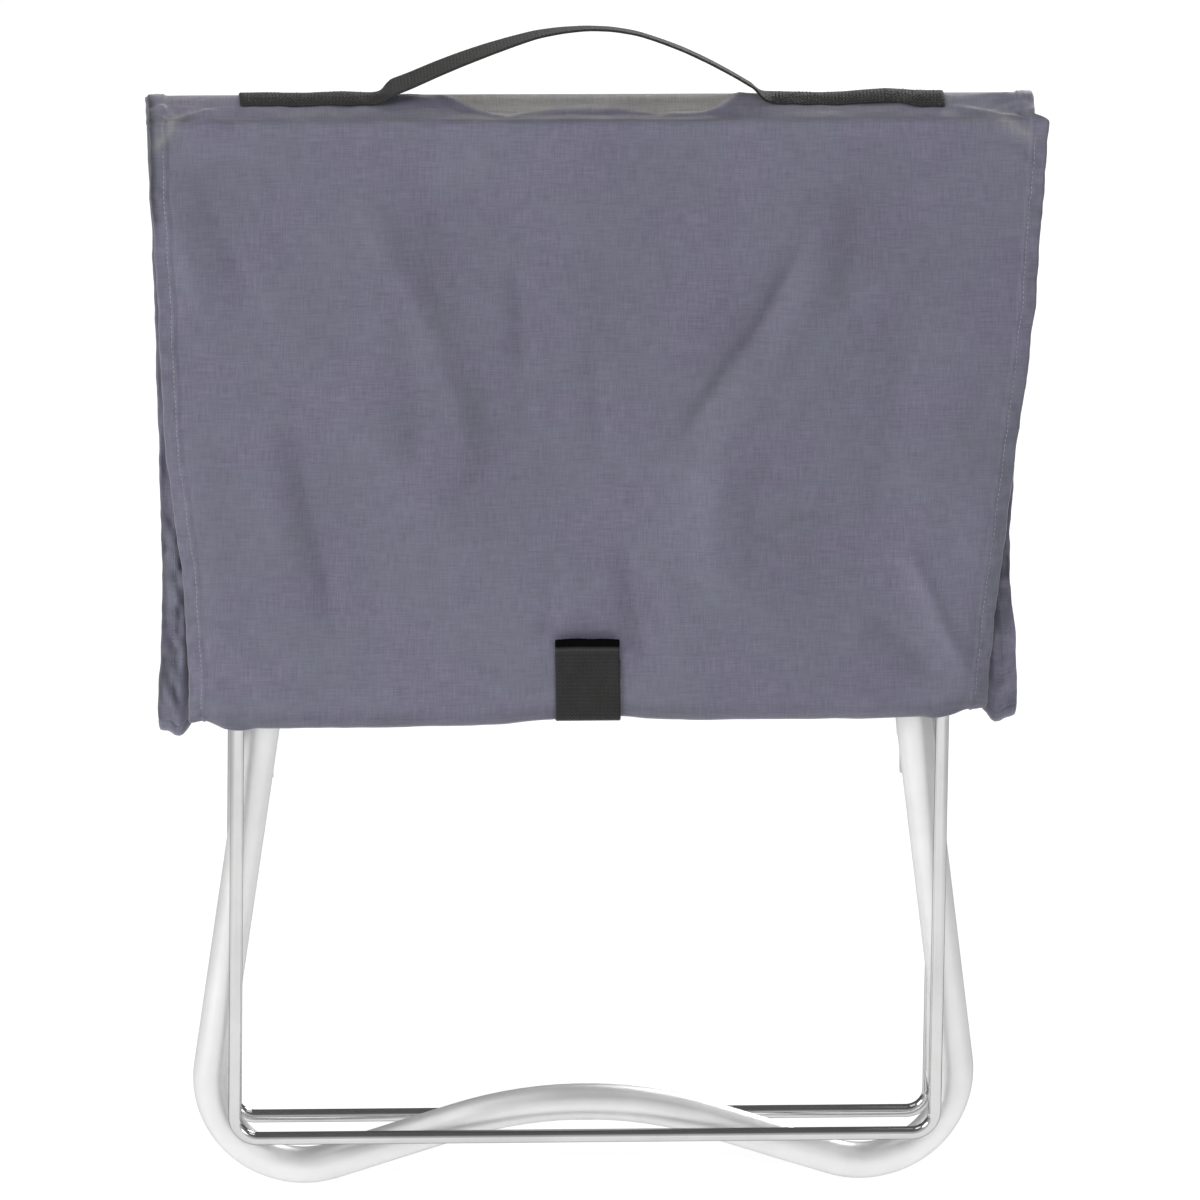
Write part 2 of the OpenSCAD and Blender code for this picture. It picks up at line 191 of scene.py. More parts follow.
def bent_path(pts, rad, closed=False, step=2.5):
    """Corner points and bend radii in XZ to a dense line of straight runs and arcs."""
    P = [np.array(p, float) for p in pts]
    n, out = len(P), []
    for i in range(n):
        if not closed and i in (0, n - 1):
            out.append(P[i])
            continue
        a, b, c = P[i - 1], P[i], P[(i + 1) % n]
        u, w = (b - a) / np.linalg.norm(b - a), (c - b) / np.linalg.norm(c - b)
        ang = math.acos(max(-1.0, min(1.0, float(u @ w))))
        if ang < 1e-4 or rad[i] == 0:
            out.append(b)
            continue
        s = 1.0 if u[0] * w[1] - u[1] * w[0] >= 0 else -1.0
        t = rad[i] * math.tan(ang / 2)
        p = b - u * t
        o = p + np.array([-u[1], u[0]]) * s * rad[i]
        k = max(6, int(math.degrees(ang) / step) + 1)
        for j in range(k + 1):
            th = s * ang * j / k
            v = p - o
            out.append(o + np.array([v[0] * math.cos(th) - v[1] * math.sin(th),
                                     v[0] * math.sin(th) + v[1] * math.cos(th)]))
    return np.array(out)


def sweep(name, path, y, r, material, closed=False, seg=56, inner=None, depth=18.0, cap=True):
    """A round tube along an XZ line at depth y. inner is the bore's radius at open ends."""
    p = np.asarray(path, float)
    if closed:
        tan = np.roll(p, -1, 0) - np.roll(p, 1, 0)
    else:
        tan = np.gradient(p, axis=0)
        tan[0], tan[-1] = p[1] - p[0], p[-1] - p[-2]
    tan /= np.linalg.norm(tan, axis=1, keepdims=True)
    rings, radii = [p], [np.full(len(p), r)]
    if not closed:
        def end(i, way):
            q, t = p[i], tan[i] * way
            rows = [(-0.5, r), (-0.14, r - 0.1), (0.0, r - 0.42)] if r > 5 else [(-0.6, r), (-0.18, r - 0.16), (0.0, r - 0.6)]
            if inner:
                rows += [(0.0, inner + 0.25), (-0.12, inner + 0.05), (-0.5, inner), (-depth, inner)]
            elif cap:
                rows += [(0.0, r * 0.5), (0.0, 0.02)]
            return [q + t * d for d, _ in rows], [w for _, w in rows]
        a0, r0 = end(0, -1.0)
        a1, r1 = end(len(p) - 1, 1.0)
        tan = np.vstack([np.repeat(tan[:1], len(a0), 0), tan[1:-1], np.repeat(tan[-1:], len(a1), 0)])
        rings = [np.array(a0[::-1]), p[1:-1], np.array(a1)]
        radii = [np.array(r0[::-1]), np.full(len(p) - 2, r), np.array(r1)]
    c, rr = np.vstack(rings), np.concatenate(radii)
    n = np.stack([-tan[:, 1], tan[:, 0]], 1)
    th = np.linspace(0, 2 * np.pi, seg, endpoint=False)
    X = c[:, None, 0] + rr[:, None] * np.cos(th) * n[:, None, 0]
    Z = c[:, None, 1] + rr[:, None] * np.cos(th) * n[:, None, 1]
    Y = y + rr[:, None] * np.sin(th) + 0 * X
    V = np.stack([X, Y, Z], -1)
    s = cumlen(c)
    rows = len(c)
    idx = np.arange(rows * seg).reshape(rows, seg)
    nxt = np.roll(idx, -1, 1)
    if closed:
        q = np.stack([idx, nxt, np.roll(nxt, -1, 0), np.roll(idx, -1, 0)], -1).reshape(-1, 4)
    else:
        q = np.stack([idx[:-1], nxt[:-1], nxt[1:], idx[1:]], -1).reshape(-1, 4)
    uv = np.stack([np.broadcast_to(s[:, None], X.shape), np.broadcast_to(r * np.abs(th - np.pi)[None, :], X.shape)], -1).reshape(-1, 2) * MM
    o = build(name, V.reshape(-1, 3), q[:, ::-1], uv, material)
    o.data.set_sharp_from_angle(angle=math.radians(40))
    return o


def stitch_run(P, N, pitch, length, r, start=0.0, stop=None, lift=0.0):
    """Capsules along a line of points P with normals N, all in mm. Returns vertices and faces."""
    P, N = np.asarray(P, float), np.asarray(N, float)
    s = cumlen(P)
    stop = s[-1] if stop is None else stop
    at = np.arange(start + length / 2, stop - length / 2, pitch)
    if not len(at):
        return np.zeros((0, 3)), np.zeros((0, 4), int)
    pos = lambda q: np.stack([np.interp(q, s, P[:, k]) for k in range(3)], -1)
    nor = np.stack([np.interp(at, s, N[:, k]) for k in range(3)], -1)
    nor /= np.linalg.norm(nor, axis=1, keepdims=True)
    a, b = pos(at - length / 2), pos(at + length / 2)
    t = (b - a) / (np.linalg.norm(b - a, axis=1, keepdims=True) + 1e-9)
    w = np.cross(t, nor)
    w /= np.linalg.norm(w, axis=1, keepdims=True)
    nor = np.cross(w, t)
    c = (a + b) / 2
    ring = np.array([(-0.5, 0.0, -0.9), (-0.46, 0.55, -0.45), (-0.3, 0.95, 0.05), (0.0, 1.0, 0.22), (0.3, 0.95, 0.05), (0.46, 0.55, -0.45), (0.5, 0.0, -0.9)])
    th = np.linspace(0, 2 * np.pi, 8, endpoint=False)
    V = []
    for along, wide, up in ring:
        V.append(c[:, None, :] + t[:, None, :] * along * length
                 + w[:, None, :] * (np.cos(th) * r * max(wide, 0.08))[None, :, None]
                 + nor[:, None, :] * (np.sin(th) * r * 0.62 * max(wide, 0.08) + up * r * 0.62 + lift)[None, :, None])
    V = np.stack(V, 1)  # stitches, rings, 8, 3
    m, k = V.shape[0], len(ring)
    base = np.arange(k * 8).reshape(k, 8)
    q = np.stack([base[:-1], np.roll(base[:-1], -1, 1), np.roll(base[1:], -1, 1), base[1:]], -1).reshape(-1, 4)
    F = (q[None] + (np.arange(m) * k * 8)[:, None, None]).reshape(-1, 4)
    return V.reshape(-1, 3), F


def stitches(name, runs, material, body):
    V, F, n = [], [], 0
    for v, f in runs:
        V.append(v)
        F.append(f + n)
        n += len(v)
    V = np.vstack(V)
    o = build(name, V, np.vstack(F), V[:, [0, 2]] * MM, material)
    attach(o, body)
    return o


# ------------------------------------------------------------------ materials
class Nodes:
    def __init__(self, name):
        self.mat = bpy.data.materials.new(name)
        self.mat.use_nodes = True
        self.t = self.mat.node_tree
        self.bsdf = self.t.nodes["Principled BSDF"]

    def node(self, kind, **inputs):
        n = self.t.nodes.new(kind)
        for k, v in inputs.items():
            if hasattr(n, k) and k not in n.inputs:
                setattr(n, k, v)
        return n

    def link(self, a, b):
        self.t.links.new(a, b)
        return b

    def put(self, socket, value):
        if hasattr(value, "is_output") or isinstance(value, bpy.types.NodeSocket):
            self.t.links.new(value, socket)
        else:
            socket.default_value = value

    def math(self, op, a, b=None, clamp=False):
        n = self.t.nodes.new("ShaderNodeMath")
        n.operation, n.use_clamp = op, clamp
        self.put(n.inputs[0], a)
        if b is not None:
            self.put(n.inputs[1], b)
        return n.outputs[0]

    def uv(self):
        n = self.t.nodes.new("ShaderNodeUVMap")
        n.uv_map = "UVMap"
        return n.outputs[0]

    def place(self, vector, scale, offset=(0, 0, 0), angle=0.0):
        n = self.t.nodes.new("ShaderNodeMapping")
        self.put(n.inputs["Vector"], vector)
        n.inputs["Scale"].default_value = scale
        n.inputs["Location"].default_value = offset
        n.inputs["Rotation"].default_value = (0, 0, angle)
        return n.outputs[0]

    def noise(self, vector, scale=1.0, detail=2.0, rough=0.5):
        n = self.t.nodes.new("ShaderNodeTexNoise")
        self.put(n.inputs["Vector"], vector)
        n.inputs["Scale"].default_value = scale
        n.inputs["Detail"].default_value = detail
        n.inputs["Roughness"].default_value = rough
        return n.outputs["Fac"]

    def ramp(self, fac, stops):
        n = self.t.nodes.new("ShaderNodeValToRGB")
        self.put(n.inputs[0], fac)
        cr = n.color_ramp
        while len(cr.elements) < len(stops):
            cr.elements.new(0.5)
        for e, (p, c) in zip(cr.elements, stops):
            e.position = p
            e.color = (*c, 1) if len(c) == 3 else c
        return n.outputs[0]

    def mix(self, fac, a, b, how="MIX"):
        n = self.t.nodes.new("ShaderNodeMix")
        n.data_type, n.blend_type = "RGBA", how
        self.put(n.inputs["Factor"], fac)
        for socket, v in ((n.inputs[6], a), (n.inputs[7], b)):
            self.put(socket, v if not isinstance(v, tuple) or len(v) == 4 else (*v, 1))
        return n.outputs[2]

    def scaled(self, colour, value):
        """colour times a number."""
        n = self.t.nodes.new("ShaderNodeVectorMath")
        n.operation = "SCALE"
        self.put(n.inputs[0], colour)
        self.put(n.inputs["Scale"], value)
        return n.outputs[0]

    def span(self, value, a0, a1, b0, b1):
        n = self.t.nodes.new("ShaderNodeMapRange")
        self.put(n.inputs["Value"], value)
        for k, v in (("From Min", a0), ("From Max", a1), ("To Min", b0), ("To Max", b1)):
            n.inputs[k].default_value = v
        return n.outputs[0]

    def tone(self):
        n = self.t.nodes.new("ShaderNodeAttribute")
        n.attribute_type, n.attribute_name = "GEOMETRY", "tone"
        return n.outputs["Fac"]

    def bump(self, height, strength, distance):
        n = self.t.nodes.new("ShaderNodeBump")
        n.inputs["Strength"].default_value = strength
        n.inputs["Distance"].default_value = distance
        self.put(n.inputs["Height"], height)
        self.link(n.outputs[0], self.bsdf.inputs["Normal"])

    def axes(self, vector):
        n = self.t.nodes.new("ShaderNodeSeparateXYZ")
        self.put(n.inputs[0], vector)
        return n.outputs[0], n.outputs[1]

    def set(self, **values):
        for k, v in values.items():
            self.put(self.bsdf.inputs[k.replace("_", " ")], v)
        return self.mat


def cloth(name, dark, light, cool):
    """Coated plain-weave polyester with slubs in both directions."""
    m = Nodes(name)
    uv = m.uv()
    weft = m.noise(m.place(uv, (75, 1250, 1)), 1.0, 3.0, 0.6)
    warp = m.noise(m.place(uv, (1250, 75, 1), (3.1, 7.7, 0)), 1.0, 3.0, 0.6)
    slub = m.math("ADD", m.math("MULTIPLY", weft, 0.5), m.math("MULTIPLY", warp, 0.5))
    u, v = m.axes(uv)
    pitch = 2 * math.pi / 0.00062
    weave = m.math("MULTIPLY", m.math("SINE", m.math("MULTIPLY", u, pitch)), m.math("SINE", m.math("MULTIPLY", v, pitch)))
    fac = m.span(slub, 0.38, 0.62, 0.0, 1.0)
    body = m.mix(fac, dark, light)
    patch = m.span(m.noise(m.place(uv, (17, 21, 1), (1.3, 0.4, 0)), 1.0, 2.0, 0.5), 0.38, 0.62, 0.0, 1.0)
    body = m.mix(patch, body, m.mix(fac, tuple(c * 0.76 for c in cool), cool))
    shade = m.math("MULTIPLY", m.tone(), m.span(m.noise(m.place(uv, (7, 9, 1), (5.3, 2.2, 0)), 1.0, 3.0, 0.55), 0.3, 0.7, 0.965, 1.035))
    bars = m.noise(m.place(uv, (26, 340, 1), (2.3, 5.1, 0)), 1.0, 3.0, 0.6)
    blot = m.noise(m.place(uv, (105, 120, 1), (8.3, 1.9, 0)), 1.0, 3.0, 0.6)
    shade = m.math("MULTIPLY", shade, m.span(bars, 0.32, 0.68, 0.965, 1.03))
    shade = m.math("MULTIPLY", shade, m.span(blot, 0.32, 0.68, 0.97, 1.03))
    shade = m.math("MULTIPLY", shade, m.span(weave, -1.0, 1.0, 0.975, 1.025))
    # painted sheen: this attribute mixes the colour toward a paler grey
    painted_sheen = m.t.nodes.new("ShaderNodeAttribute")
    painted_sheen.attribute_type, painted_sheen.attribute_name = "GEOMETRY", "painted_sheen"
    body = m.mix(painted_sheen.outputs["Fac"], body, m.mix(fac, (0.215, 0.212, 0.208), (0.30, 0.295, 0.288)))
    col = m.scaled(body, shade)
    m.link(col, m.bsdf.inputs["Base Color"])
    m.put(m.bsdf.inputs["Roughness"], m.span(slub, 0.3, 0.7, 0.62, 0.5))
    m.bump(m.math("ADD", m.math("MULTIPLY", weave, 0.35), m.math("MULTIPLY", slub, 2.2)), 0.45, 0.00022)
    return m.set(Specular_IOR_Level=0.42, Sheen_Weight=0.42, Sheen_Roughness=0.45, Sheen_Tint=(1.0, 0.965, 0.9, 1))


def webbing(name, dark, light):
    """Woven polypropylene webbing: u runs along the strap and v across it."""
    m = Nodes(name)
    u, v = m.axes(m.uv())
    a = m.math("MULTIPLY", u, 2 * math.pi / 0.0021)
    b = m.math("MULTIPLY", v, 2 * math.pi / 0.0026)
    rib = m.math("SINE", m.math("ADD", a, m.math("MULTIPLY", m.math("SINE", b), 1.3)))
    cord = m.math("SINE", m.math("MULTIPLY", v, 2 * math.pi / 0.0013))
    fibre = m.noise(m.place(m.uv(), (220, 2600, 1)), 1.0, 3.0, 0.6)
    height = m.math("ADD", m.math("ADD", m.math("MULTIPLY", rib, 0.55), m.math("MULTIPLY", cord, 0.3)), fibre)
    fac = m.span(height, -0.4, 1.5, 0.0, 1.0)
    wear_and_sheen = m.span(m.noise(m.place(m.uv(), (60, 90, 1)), 1.0, 3.0, 0.6), 0.35, 0.7, 0.85, 1.18)
    m.link(m.scaled(m.mix(fac, dark, light), m.math("MULTIPLY", wear_and_sheen, m.tone())), m.bsdf.inputs["Base Color"])
    m.put(m.bsdf.inputs["Roughness"], m.span(fibre, 0.3, 0.7, 0.72, 0.58))
    m.bump(height, 0.7, 0.0003)
    # tone also scales the specular and the sheen, so painted shade dims them too
    m.link(m.math("MULTIPLY", m.tone(), 0.3), m.bsdf.inputs["Specular IOR Level"])
    m.link(m.math("MULTIPLY", m.tone(), 0.1), m.bsdf.inputs["Sheen Weight"])
    return m.set(Sheen_Roughness=0.5, Sheen_Tint=(0.9, 0.9, 0.88, 1))


def drawn_metal(name, low, high, rough, grain, depth, scale=(6, 1500, 1), space=None, edge=0.35, metal=1.0):
    """Metal with fine lines drawn along the tube."""
    m = Nodes(name)
    if space is None:
        vec = m.uv()
    else:
        n = m.t.nodes.new("ShaderNodeTexCoord")
        vec = n.outputs["Object"]
    lines = m.noise(m.place(vec, scale), 1.0, 3.0, 0.6)
    hand = m.noise(m.place(vec, (22, 22, 22), (2.0, 1.0, 0.3)), 1.0, 4.0, 0.6)
    m.link(m.mix(m.span(hand, 0.35, 0.65, 0, 1), low, high), m.bsdf.inputs["Base Color"])
    m.put(m.bsdf.inputs["Roughness"], m.math("ADD", m.span(lines, 0.3, 0.7, rough - grain, rough + grain), m.span(hand, 0.3, 0.7, -grain * 0.6, grain * 0.6)))
    m.bump(m.math("ADD", lines, m.math("MULTIPLY", hand, 0.4)), 0.25, depth)
    return m.set(Metallic=metal, Specular_Tint=(edge, edge, edge, 1))


def plain(name, low, high, rough, grain_scale, depth, metallic=0.0, spec=0.4):
    m = Nodes(name)
    n = m.t.nodes.new("ShaderNodeTexCoord")
    vec = n.outputs["Object"]
    grain = m.noise(m.place(vec, (grain_scale,) * 3), 1.0, 4.0, 0.6)
    broad = m.noise(m.place(vec, (70, 70, 70), (0.4, 0.2, 0.9)), 1.0, 3.0, 0.55)
    m.link(m.mix(m.span(broad, 0.35, 0.65, 0, 1), low, high), m.bsdf.inputs["Base Color"])
    m.put(m.bsdf.inputs["Roughness"], m.span(grain, 0.3, 0.7, rough - 0.07, rough + 0.07))
    m.bump(grain, 0.35, depth)
    return m.set(Metallic=metallic, Specular_IOR_Level=spec)


M_CLOTH = cloth("cover_cloth", (0.112, 0.106, 0.156), (0.165, 0.156, 0.222), (0.152, 0.156, 0.210))
M_WEB = webbing("black_webbing", (0.0082, 0.0078, 0.0078), (0.0232, 0.0220, 0.0216))
M_ALU = drawn_metal("frame_aluminium", (0.77, 0.77, 0.772), (0.84, 0.84, 0.841), 0.45, 0.05, 0.00002, metal=0.74)
M_CHROME = drawn_metal("chromed_wire", (0.60, 0.602, 0.60), (0.67, 0.67, 0.668), 0.13, 0.03, 0.00001, (30, 700, 1), edge=0.22)
M_ZINC = plain("zinc_bracket", (0.52, 0.53, 0.54), (0.66, 0.66, 0.66), 0.42, 900, 0.00003, 1.0)
M_RIVET = plain("rivet", (0.66, 0.665, 0.67), (0.78, 0.78, 0.785), 0.3, 1400, 0.00002, 1.0)
M_PLASTIC = plain("black_plastic", (0.018, 0.018, 0.019), (0.026, 0.026, 0.027), 0.5, 2200, 0.00004)
M_THREAD = plain("light_thread", (0.215, 0.21, 0.248), (0.29, 0.282, 0.325), 0.7, 3000, 0.00003)
M_THREAD2 = plain("cloth_thread", (0.16, 0.155, 0.20), (0.22, 0.215, 0.26), 0.7, 3000, 0.00003)
M_THREAD3 = plain("dark_thread", (0.03, 0.03, 0.029), (0.05, 0.05, 0.048), 0.65, 3000, 0.00003)

for node, material in {
    "frame_splice": M_ALU, "splice_rivets": M_RIVET, "prop_clip_left": M_PLASTIC, "prop_clip_right": M_PLASTIC,
    "prop_clip_rivets": M_RIVET, "seat_bracket_left": M_ZINC, "seat_bracket_right": M_ZINC,
    "seat_bracket_rivets": M_RIVET, "prop_wire_ferrule": M_ZINC, "seat_tube_plugs": M_PLASTIC,
    "seat_pivot_rivets": M_RIVET, "leg_pivot_washers": M_PLASTIC, "leg_pivot_caps": M_PLASTIC,
}.items():
    o = bpy.data.objects[node]
    if not len(o.data.materials):
        o.data.materials.append(material)
    for s in o.material_slots:
        s.material = material

# ------------------------------------------------------------------ tubes and wires
Z_TOP, Y_TUBE, Y_PROP, Y_SEAT = 668.0, -2.25, -20.75, 20.75
lean, slope = math.tan(math.radians(7.6)), math.tan(math.radians(18))
lobe_x = (235.3 - lean * 62.9) / (1 - lean * slope)
lobe_z = 62.9 - slope * lobe_x
waist = 235.3 - lean * 312
tube = sweep("back_tube", bent_path(
    [(-248, Z_TOP), (-waist, 312), (-lobe_x, lobe_z), (0, 62.9), (lobe_x, lobe_z), (waist, 312), (248, Z_TOP)],
    [40, 80, 57, 250, 57, 80, 40], closed=True), Y_TUBE, 11.0, M_ALU, closed=True, seg=72)
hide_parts("back_frame_tube")
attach(tube, "back_frame")

prop = sweep("prop_wire", bent_path(
    [(-256, Z_TOP), (-212, 300), (-212, 34.5), (212, 34.5), (212, 300), (256, Z_TOP)],
    [13, 60, 14, 14, 60, 13], closed=True), Y_PROP, 4.0, M_CHROME, closed=True, seg=40)
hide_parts("rear_prop_wire")
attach(prop, "rear_prop")

seat_tube = sweep("seat_tube", bent_path(
    [(-197.8, 274), (-197.8, 410), (-246, 650), (246, 650), (197.8, 410), (197.8, 274)],
    [0, 80, 40, 40, 80, 0]), Y_SEAT, 7.0, M_ALU, seg=56, inner=5.8)
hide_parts("seat_frame_tube")
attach(seat_tube, "seat_frame")

leg = sweep("leg_wire", bent_path(
    [(-187.8, 380), (-212, 380), (-212, 34.5), (212, 34.5), (212, 380), (187.8, 380)],
    [0, 7, 14, 14, 7, 0]), Y_SEAT, 4.0, M_CHROME, seg=40)
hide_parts("front_leg_wire")
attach(leg, "front_leg")

# ------------------------------------------------------------------ the cover: top panel and rear flap
FLAP_Y = -26.45


def edge_columns(left, right, margins, count):
    """x of every column for each row: fixed steps near both edges and even ones between."""
    d = np.array(margins, float)
    inner = np.linspace(0, 1, count)
    l, r = left[:, None], right[:, None]
    x = np.concatenate([l + d[None], l + d[-1] + (r - l - 2 * d[-1]) * inner[None, 1:-1], r - d[None, ::-1]], 1)
    dist = np.minimum(x - l, r - x)
    return x, dist


MARGINS = [0, 0.7, 1.6, 2.8, 4.1, 5.4, 6.3, 7.0, 7.7, 8.6, 9.8, 11.4, 13.4, 16.0, 19.0]
flap_left = track([(700, -266), (674, -266.5), (640, -265), (610, -263.4), (598, -262.4), (530, -259), (466, -255.4), (430, -250),
                   (397, -245), (350, -241.5), (318, -240), (290, -239.5)], 10)
flap_right = track([(700, 268), (674, 268.4), (640, 264.6), (612, 264), (560, 261.6), (510, 256.6), (485, 254.4), (460, 251.4), (419, 247.5),
                    (360, 241), (315, 237.5), (290, 237)], 10)


def flap_bottom(x):
    """How far the flap's lower edge is from z = 298."""
    return (-2.3 + 2.6 * smooth((x + 60) / 110) + 0.002 * x + 4.0 * np.exp(-(x / 38) ** 2)
            + 0.9 * np.exp(-((x + 231) / 9.5) ** 2) + 3.5 * np.exp(-((x - 222) / 14) ** 2)
            - 2.4 * np.exp(-((x + 239) / 4.0) ** 2))


def flap_relief(x, z):
    """Height of the flap's soft folds, outwards, in mm."""
    h = np.zeros(np.shape(x))
    # tension from the tab to the two upper corners
    h += fold(x, z, [(-14, 352), (-90, 430), (-190, 560), (-250, 655)], 1.5, 20, 26)
    h += fold(x, z, [(14, 352), (80, 450), (170, 560), (250, 655)], 1.6, 26, 20)
    # long folds
    h += fold(x, z, [(-241, 655), (-230, 620), (-214, 585), (-196, 545)], -1.9, 9, 12)
    h += fold(x, z, [(-262, 640), (-246, 590), (-226, 540)], 1.3, 10, 9)
    h += fold(x, z, [(-142, 640), (-128, 600), (-100, 548), (-78, 480), (-84, 440), (-92, 415)], 2.6, 15, 11)
    h += fold(x, z, [(-118, 560), (-106, 500), (-108, 440)], -1.6, 13, 13)
    h += fold(x, z, [(-182, 492), (-174, 450), (-163, 405), (-152, 345)], -2.3, 10, 9)
    h += fold(x, z, [(-205, 520), (-192, 450), (-182, 380)], 1.2, 14, 12)
    h += fold(x, z, [(-50, 596), (-46, 560), (-42, 505)], -1.3, 7, 8)
    h += fold(x, z, [(-2, 545), (1, 500), (4, 455)], -1.0, 7, 7)
    h += fold(x, z, [(128, 616), (118, 585), (98, 545), (78, 515), (60, 487), (42, 462)], -3.1, 9, 8)
    h += fold(x, z, [(146, 610), (130, 565), (104, 515), (74, 470), (62, 430)], 1.9, 12, 14)
    h += fold(x, z, [(160, 640), (152, 590), (156, 540)], -1.6, 14, 15)
    h += fold(x, z, [(196, 560), (180, 490), (170, 400)], -1.5, 17, 15)
    h += fold(x, z, [(112, 478), (98, 430), (96, 370)], -1.7, 12, 10)
    h += fold(x, z, [(84, 470), (70, 420), (80, 365)], 1.3, 12, 12)
    h += fold(x, z, [(18, 420), (22, 385), (30, 345), (34, 318)], -2.1, 8, 9)
    h += fold(x, z, [(-20, 410), (-26, 370), (-30, 330)], -1.0, 10, 8)
    h += fold(x, z, [(40, 400), (50, 360), (58, 325)], 1.0, 10, 9)
    h += fold(x, z, [(182, 415), (198, 385), (214, 350), (232, 315)], 3.0, 7, 8)
    h += fold(x, z, [(160, 372), (186, 348), (215, 318)], -1.7, 11, 9)
    h += fold(x, z, [(206, 440), (222, 400), (233, 350)], -1.0, 7, 8)
    h += fold(x, z, [(-232, 372), (-214, 345), (-192, 325), (-160, 312)], 1.3, 9, 11)
    h += fold(x, z, [(-222, 330), (-236, 312)], 1.5, 7, 7)
    h += fold(x, z, [(-100, 345), (-60, 325), (-30, 315)], 0.9, 12, 9)
    # crumple where the top corners are folded
    h += fold(x, z, [(-246, 676), (-256, 664), (-266, 652)], 1.5, 3.5, 5)
    h += fold(x, z, [(-236, 672), (-250, 655), (-262, 632)], -1.0, 5, 5)
    h += fold(x, z, [(226, 676), (246, 668), (266, 655)], 1.7, 3.6, 5)
    h += fold(x, z, [(238, 664), (252, 655), (267, 643)], -1.3, 4, 4)
    h += fold(x, z, [(248, 655), (262, 640)], 1.0, 4, 5)
    # broad and fine unevenness
    h += 1.0 * noise2(x / 88 + 3.1, z / 104, 3) + 0.5 * noise2(x / 41, z / 49, 5)
    h += 0.20 * noise2(x / 17, z / 19, 8) + 0.07 * noise2(x / 8, z / 7, 9)
    return h


COVER_START = 24.0  # the cover is sewn to the sleeve behind the handle
ARC_END = 90 + math.degrees(math.asin((13.45 - 5.7) / (Y_TUBE - Y_PROP)))


def cover_rows():
    rt, rp = 13.45, 5.7
    al = math.asin((rt - rp) / (Y_TUBE - Y_PROP))
    rows = []
    for a in np.linspace(COVER_START, 90 + math.degrees(al), 20):
        c, s = math.cos(math.radians(a)), math.sin(math.radians(a))
        rows.append((Y_TUBE + rt * c, Z_TOP + rt * s, c, s))
    c, s = -math.sin(al), math.cos(al)
    p = np.array([Y_TUBE + rt * c, Z_TOP + rt * s])
    q = np.array([Y_PROP + rp * c, Z_TOP + rp * s])
    for t in np.linspace(0, 1, 15)[1:]:
        rows.append((*(p + (q - p) * t), c, s))
    top_end = len(rows) - 1
    for a in np.linspace(90 + math.degrees(al), 180, 11)[1:]:
        c, s = math.cos(math.radians(a)), math.sin(math.radians(a))
        rows.append((Y_PROP + rp * c, Z_TOP + rp * s, c, s))
    bend_end = len(rows) - 1
    for z in np.concatenate([np.linspace(Z_TOP, 640, 19)[1:], np.linspace(640, 306, 160)[1:]]):
        rows.append((FLAP_Y, z, -1.0, 0.0))
    for a in np.linspace(180, 258, 12)[1:]:
        c, s = math.cos(math.radians(a)), math.sin(math.radians(a))
        rows.append((FLAP_Y + 8 + 8 * c, 306 + 8 * s, c, s))
    return np.array(rows), top_end, bend_end


R, TOP_END, BEND_END = cover_rows()
s_row = cumlen(R[:, :2]) - math.radians(60 - COVER_START) * 13.45  # 0 at 60 degrees round the sleeve
s_crease = s_row[BEND_END]
flat_z = Z_TOP + (s_crease - s_row)  # height as if the top were unrolled upwards
far = smooth((s_crease - s_row - 2) / 7)
left = flap_left(flat_z) + 0.5 * far
right = flap_right(flat_z) - 8.9 * far
wob = lambda z, seed: 0.75 * noise2(z / 23, 0.3, seed) + 0.4 * noise2(z / 8.5, 1.7, seed + 1)
left = left + wob(flat_z, 11) * (1 - 0.7 * far)
right = right + wob(flat_z, 21) * 1.2 * (1 - 0.7 * far)
X, DE = edge_columns(left, right, MARGINS, 214)
FZ = np.broadcast_to(flat_z[:, None], X.shape)

relief = 1.35 * flap_relief(X, FZ)
down = smooth((FZ - 640) / 26)  # 1 on the top, 0 on the flap
relief *= 1 - 0.85 * smooth((FZ - 655) / 12)
# the tab holds the cloth flat
tabzone = np.exp(-(np.maximum(np.abs(X) - 21, 0) / 7) ** 2) * smooth((356 - FZ) / 12)
relief *= 1 - tabzone
# the prop wire's rails stand behind the cloth
wire_x = np.interp(FZ[:, 0], [300, 668], [212, 256])[:, None]
on_wire = np.exp(-((np.abs(X) - wire_x) / 9) ** 2)
relief = np.where(relief < 0, relief * (1 - 0.85 * on_wire), relief)
# beyond the rails the flap's border falls back towards the sling
relief -= 6.5 * smooth((np.abs(X) - wire_x - 6) / 24) * smooth((560 - FZ) / 130)
# hems: cloth folded in, and puckered by the stitching
hem = 1 - smooth((DE - 8.4) / 1.5)
pucker = noise2(FZ / 5.2 + DE / 8.0, DE / 11.0, 31) * np.exp(-((DE - 6.5) / 6.0) ** 2)
crumple = smooth((430 - FZ) / 90) * smooth((FZ - 300) / 25)
relief += 0.42 * hem + (0.46 + 0.75 * crumple) * pucker - 0.30 * np.exp(-((DE - 7.0) / 0.8) ** 2)
relief += 0.9 * noise2(FZ / 26, 2.0 + np.sign(X) * 3, 37) * np.exp(-(DE / 7.0) ** 2)

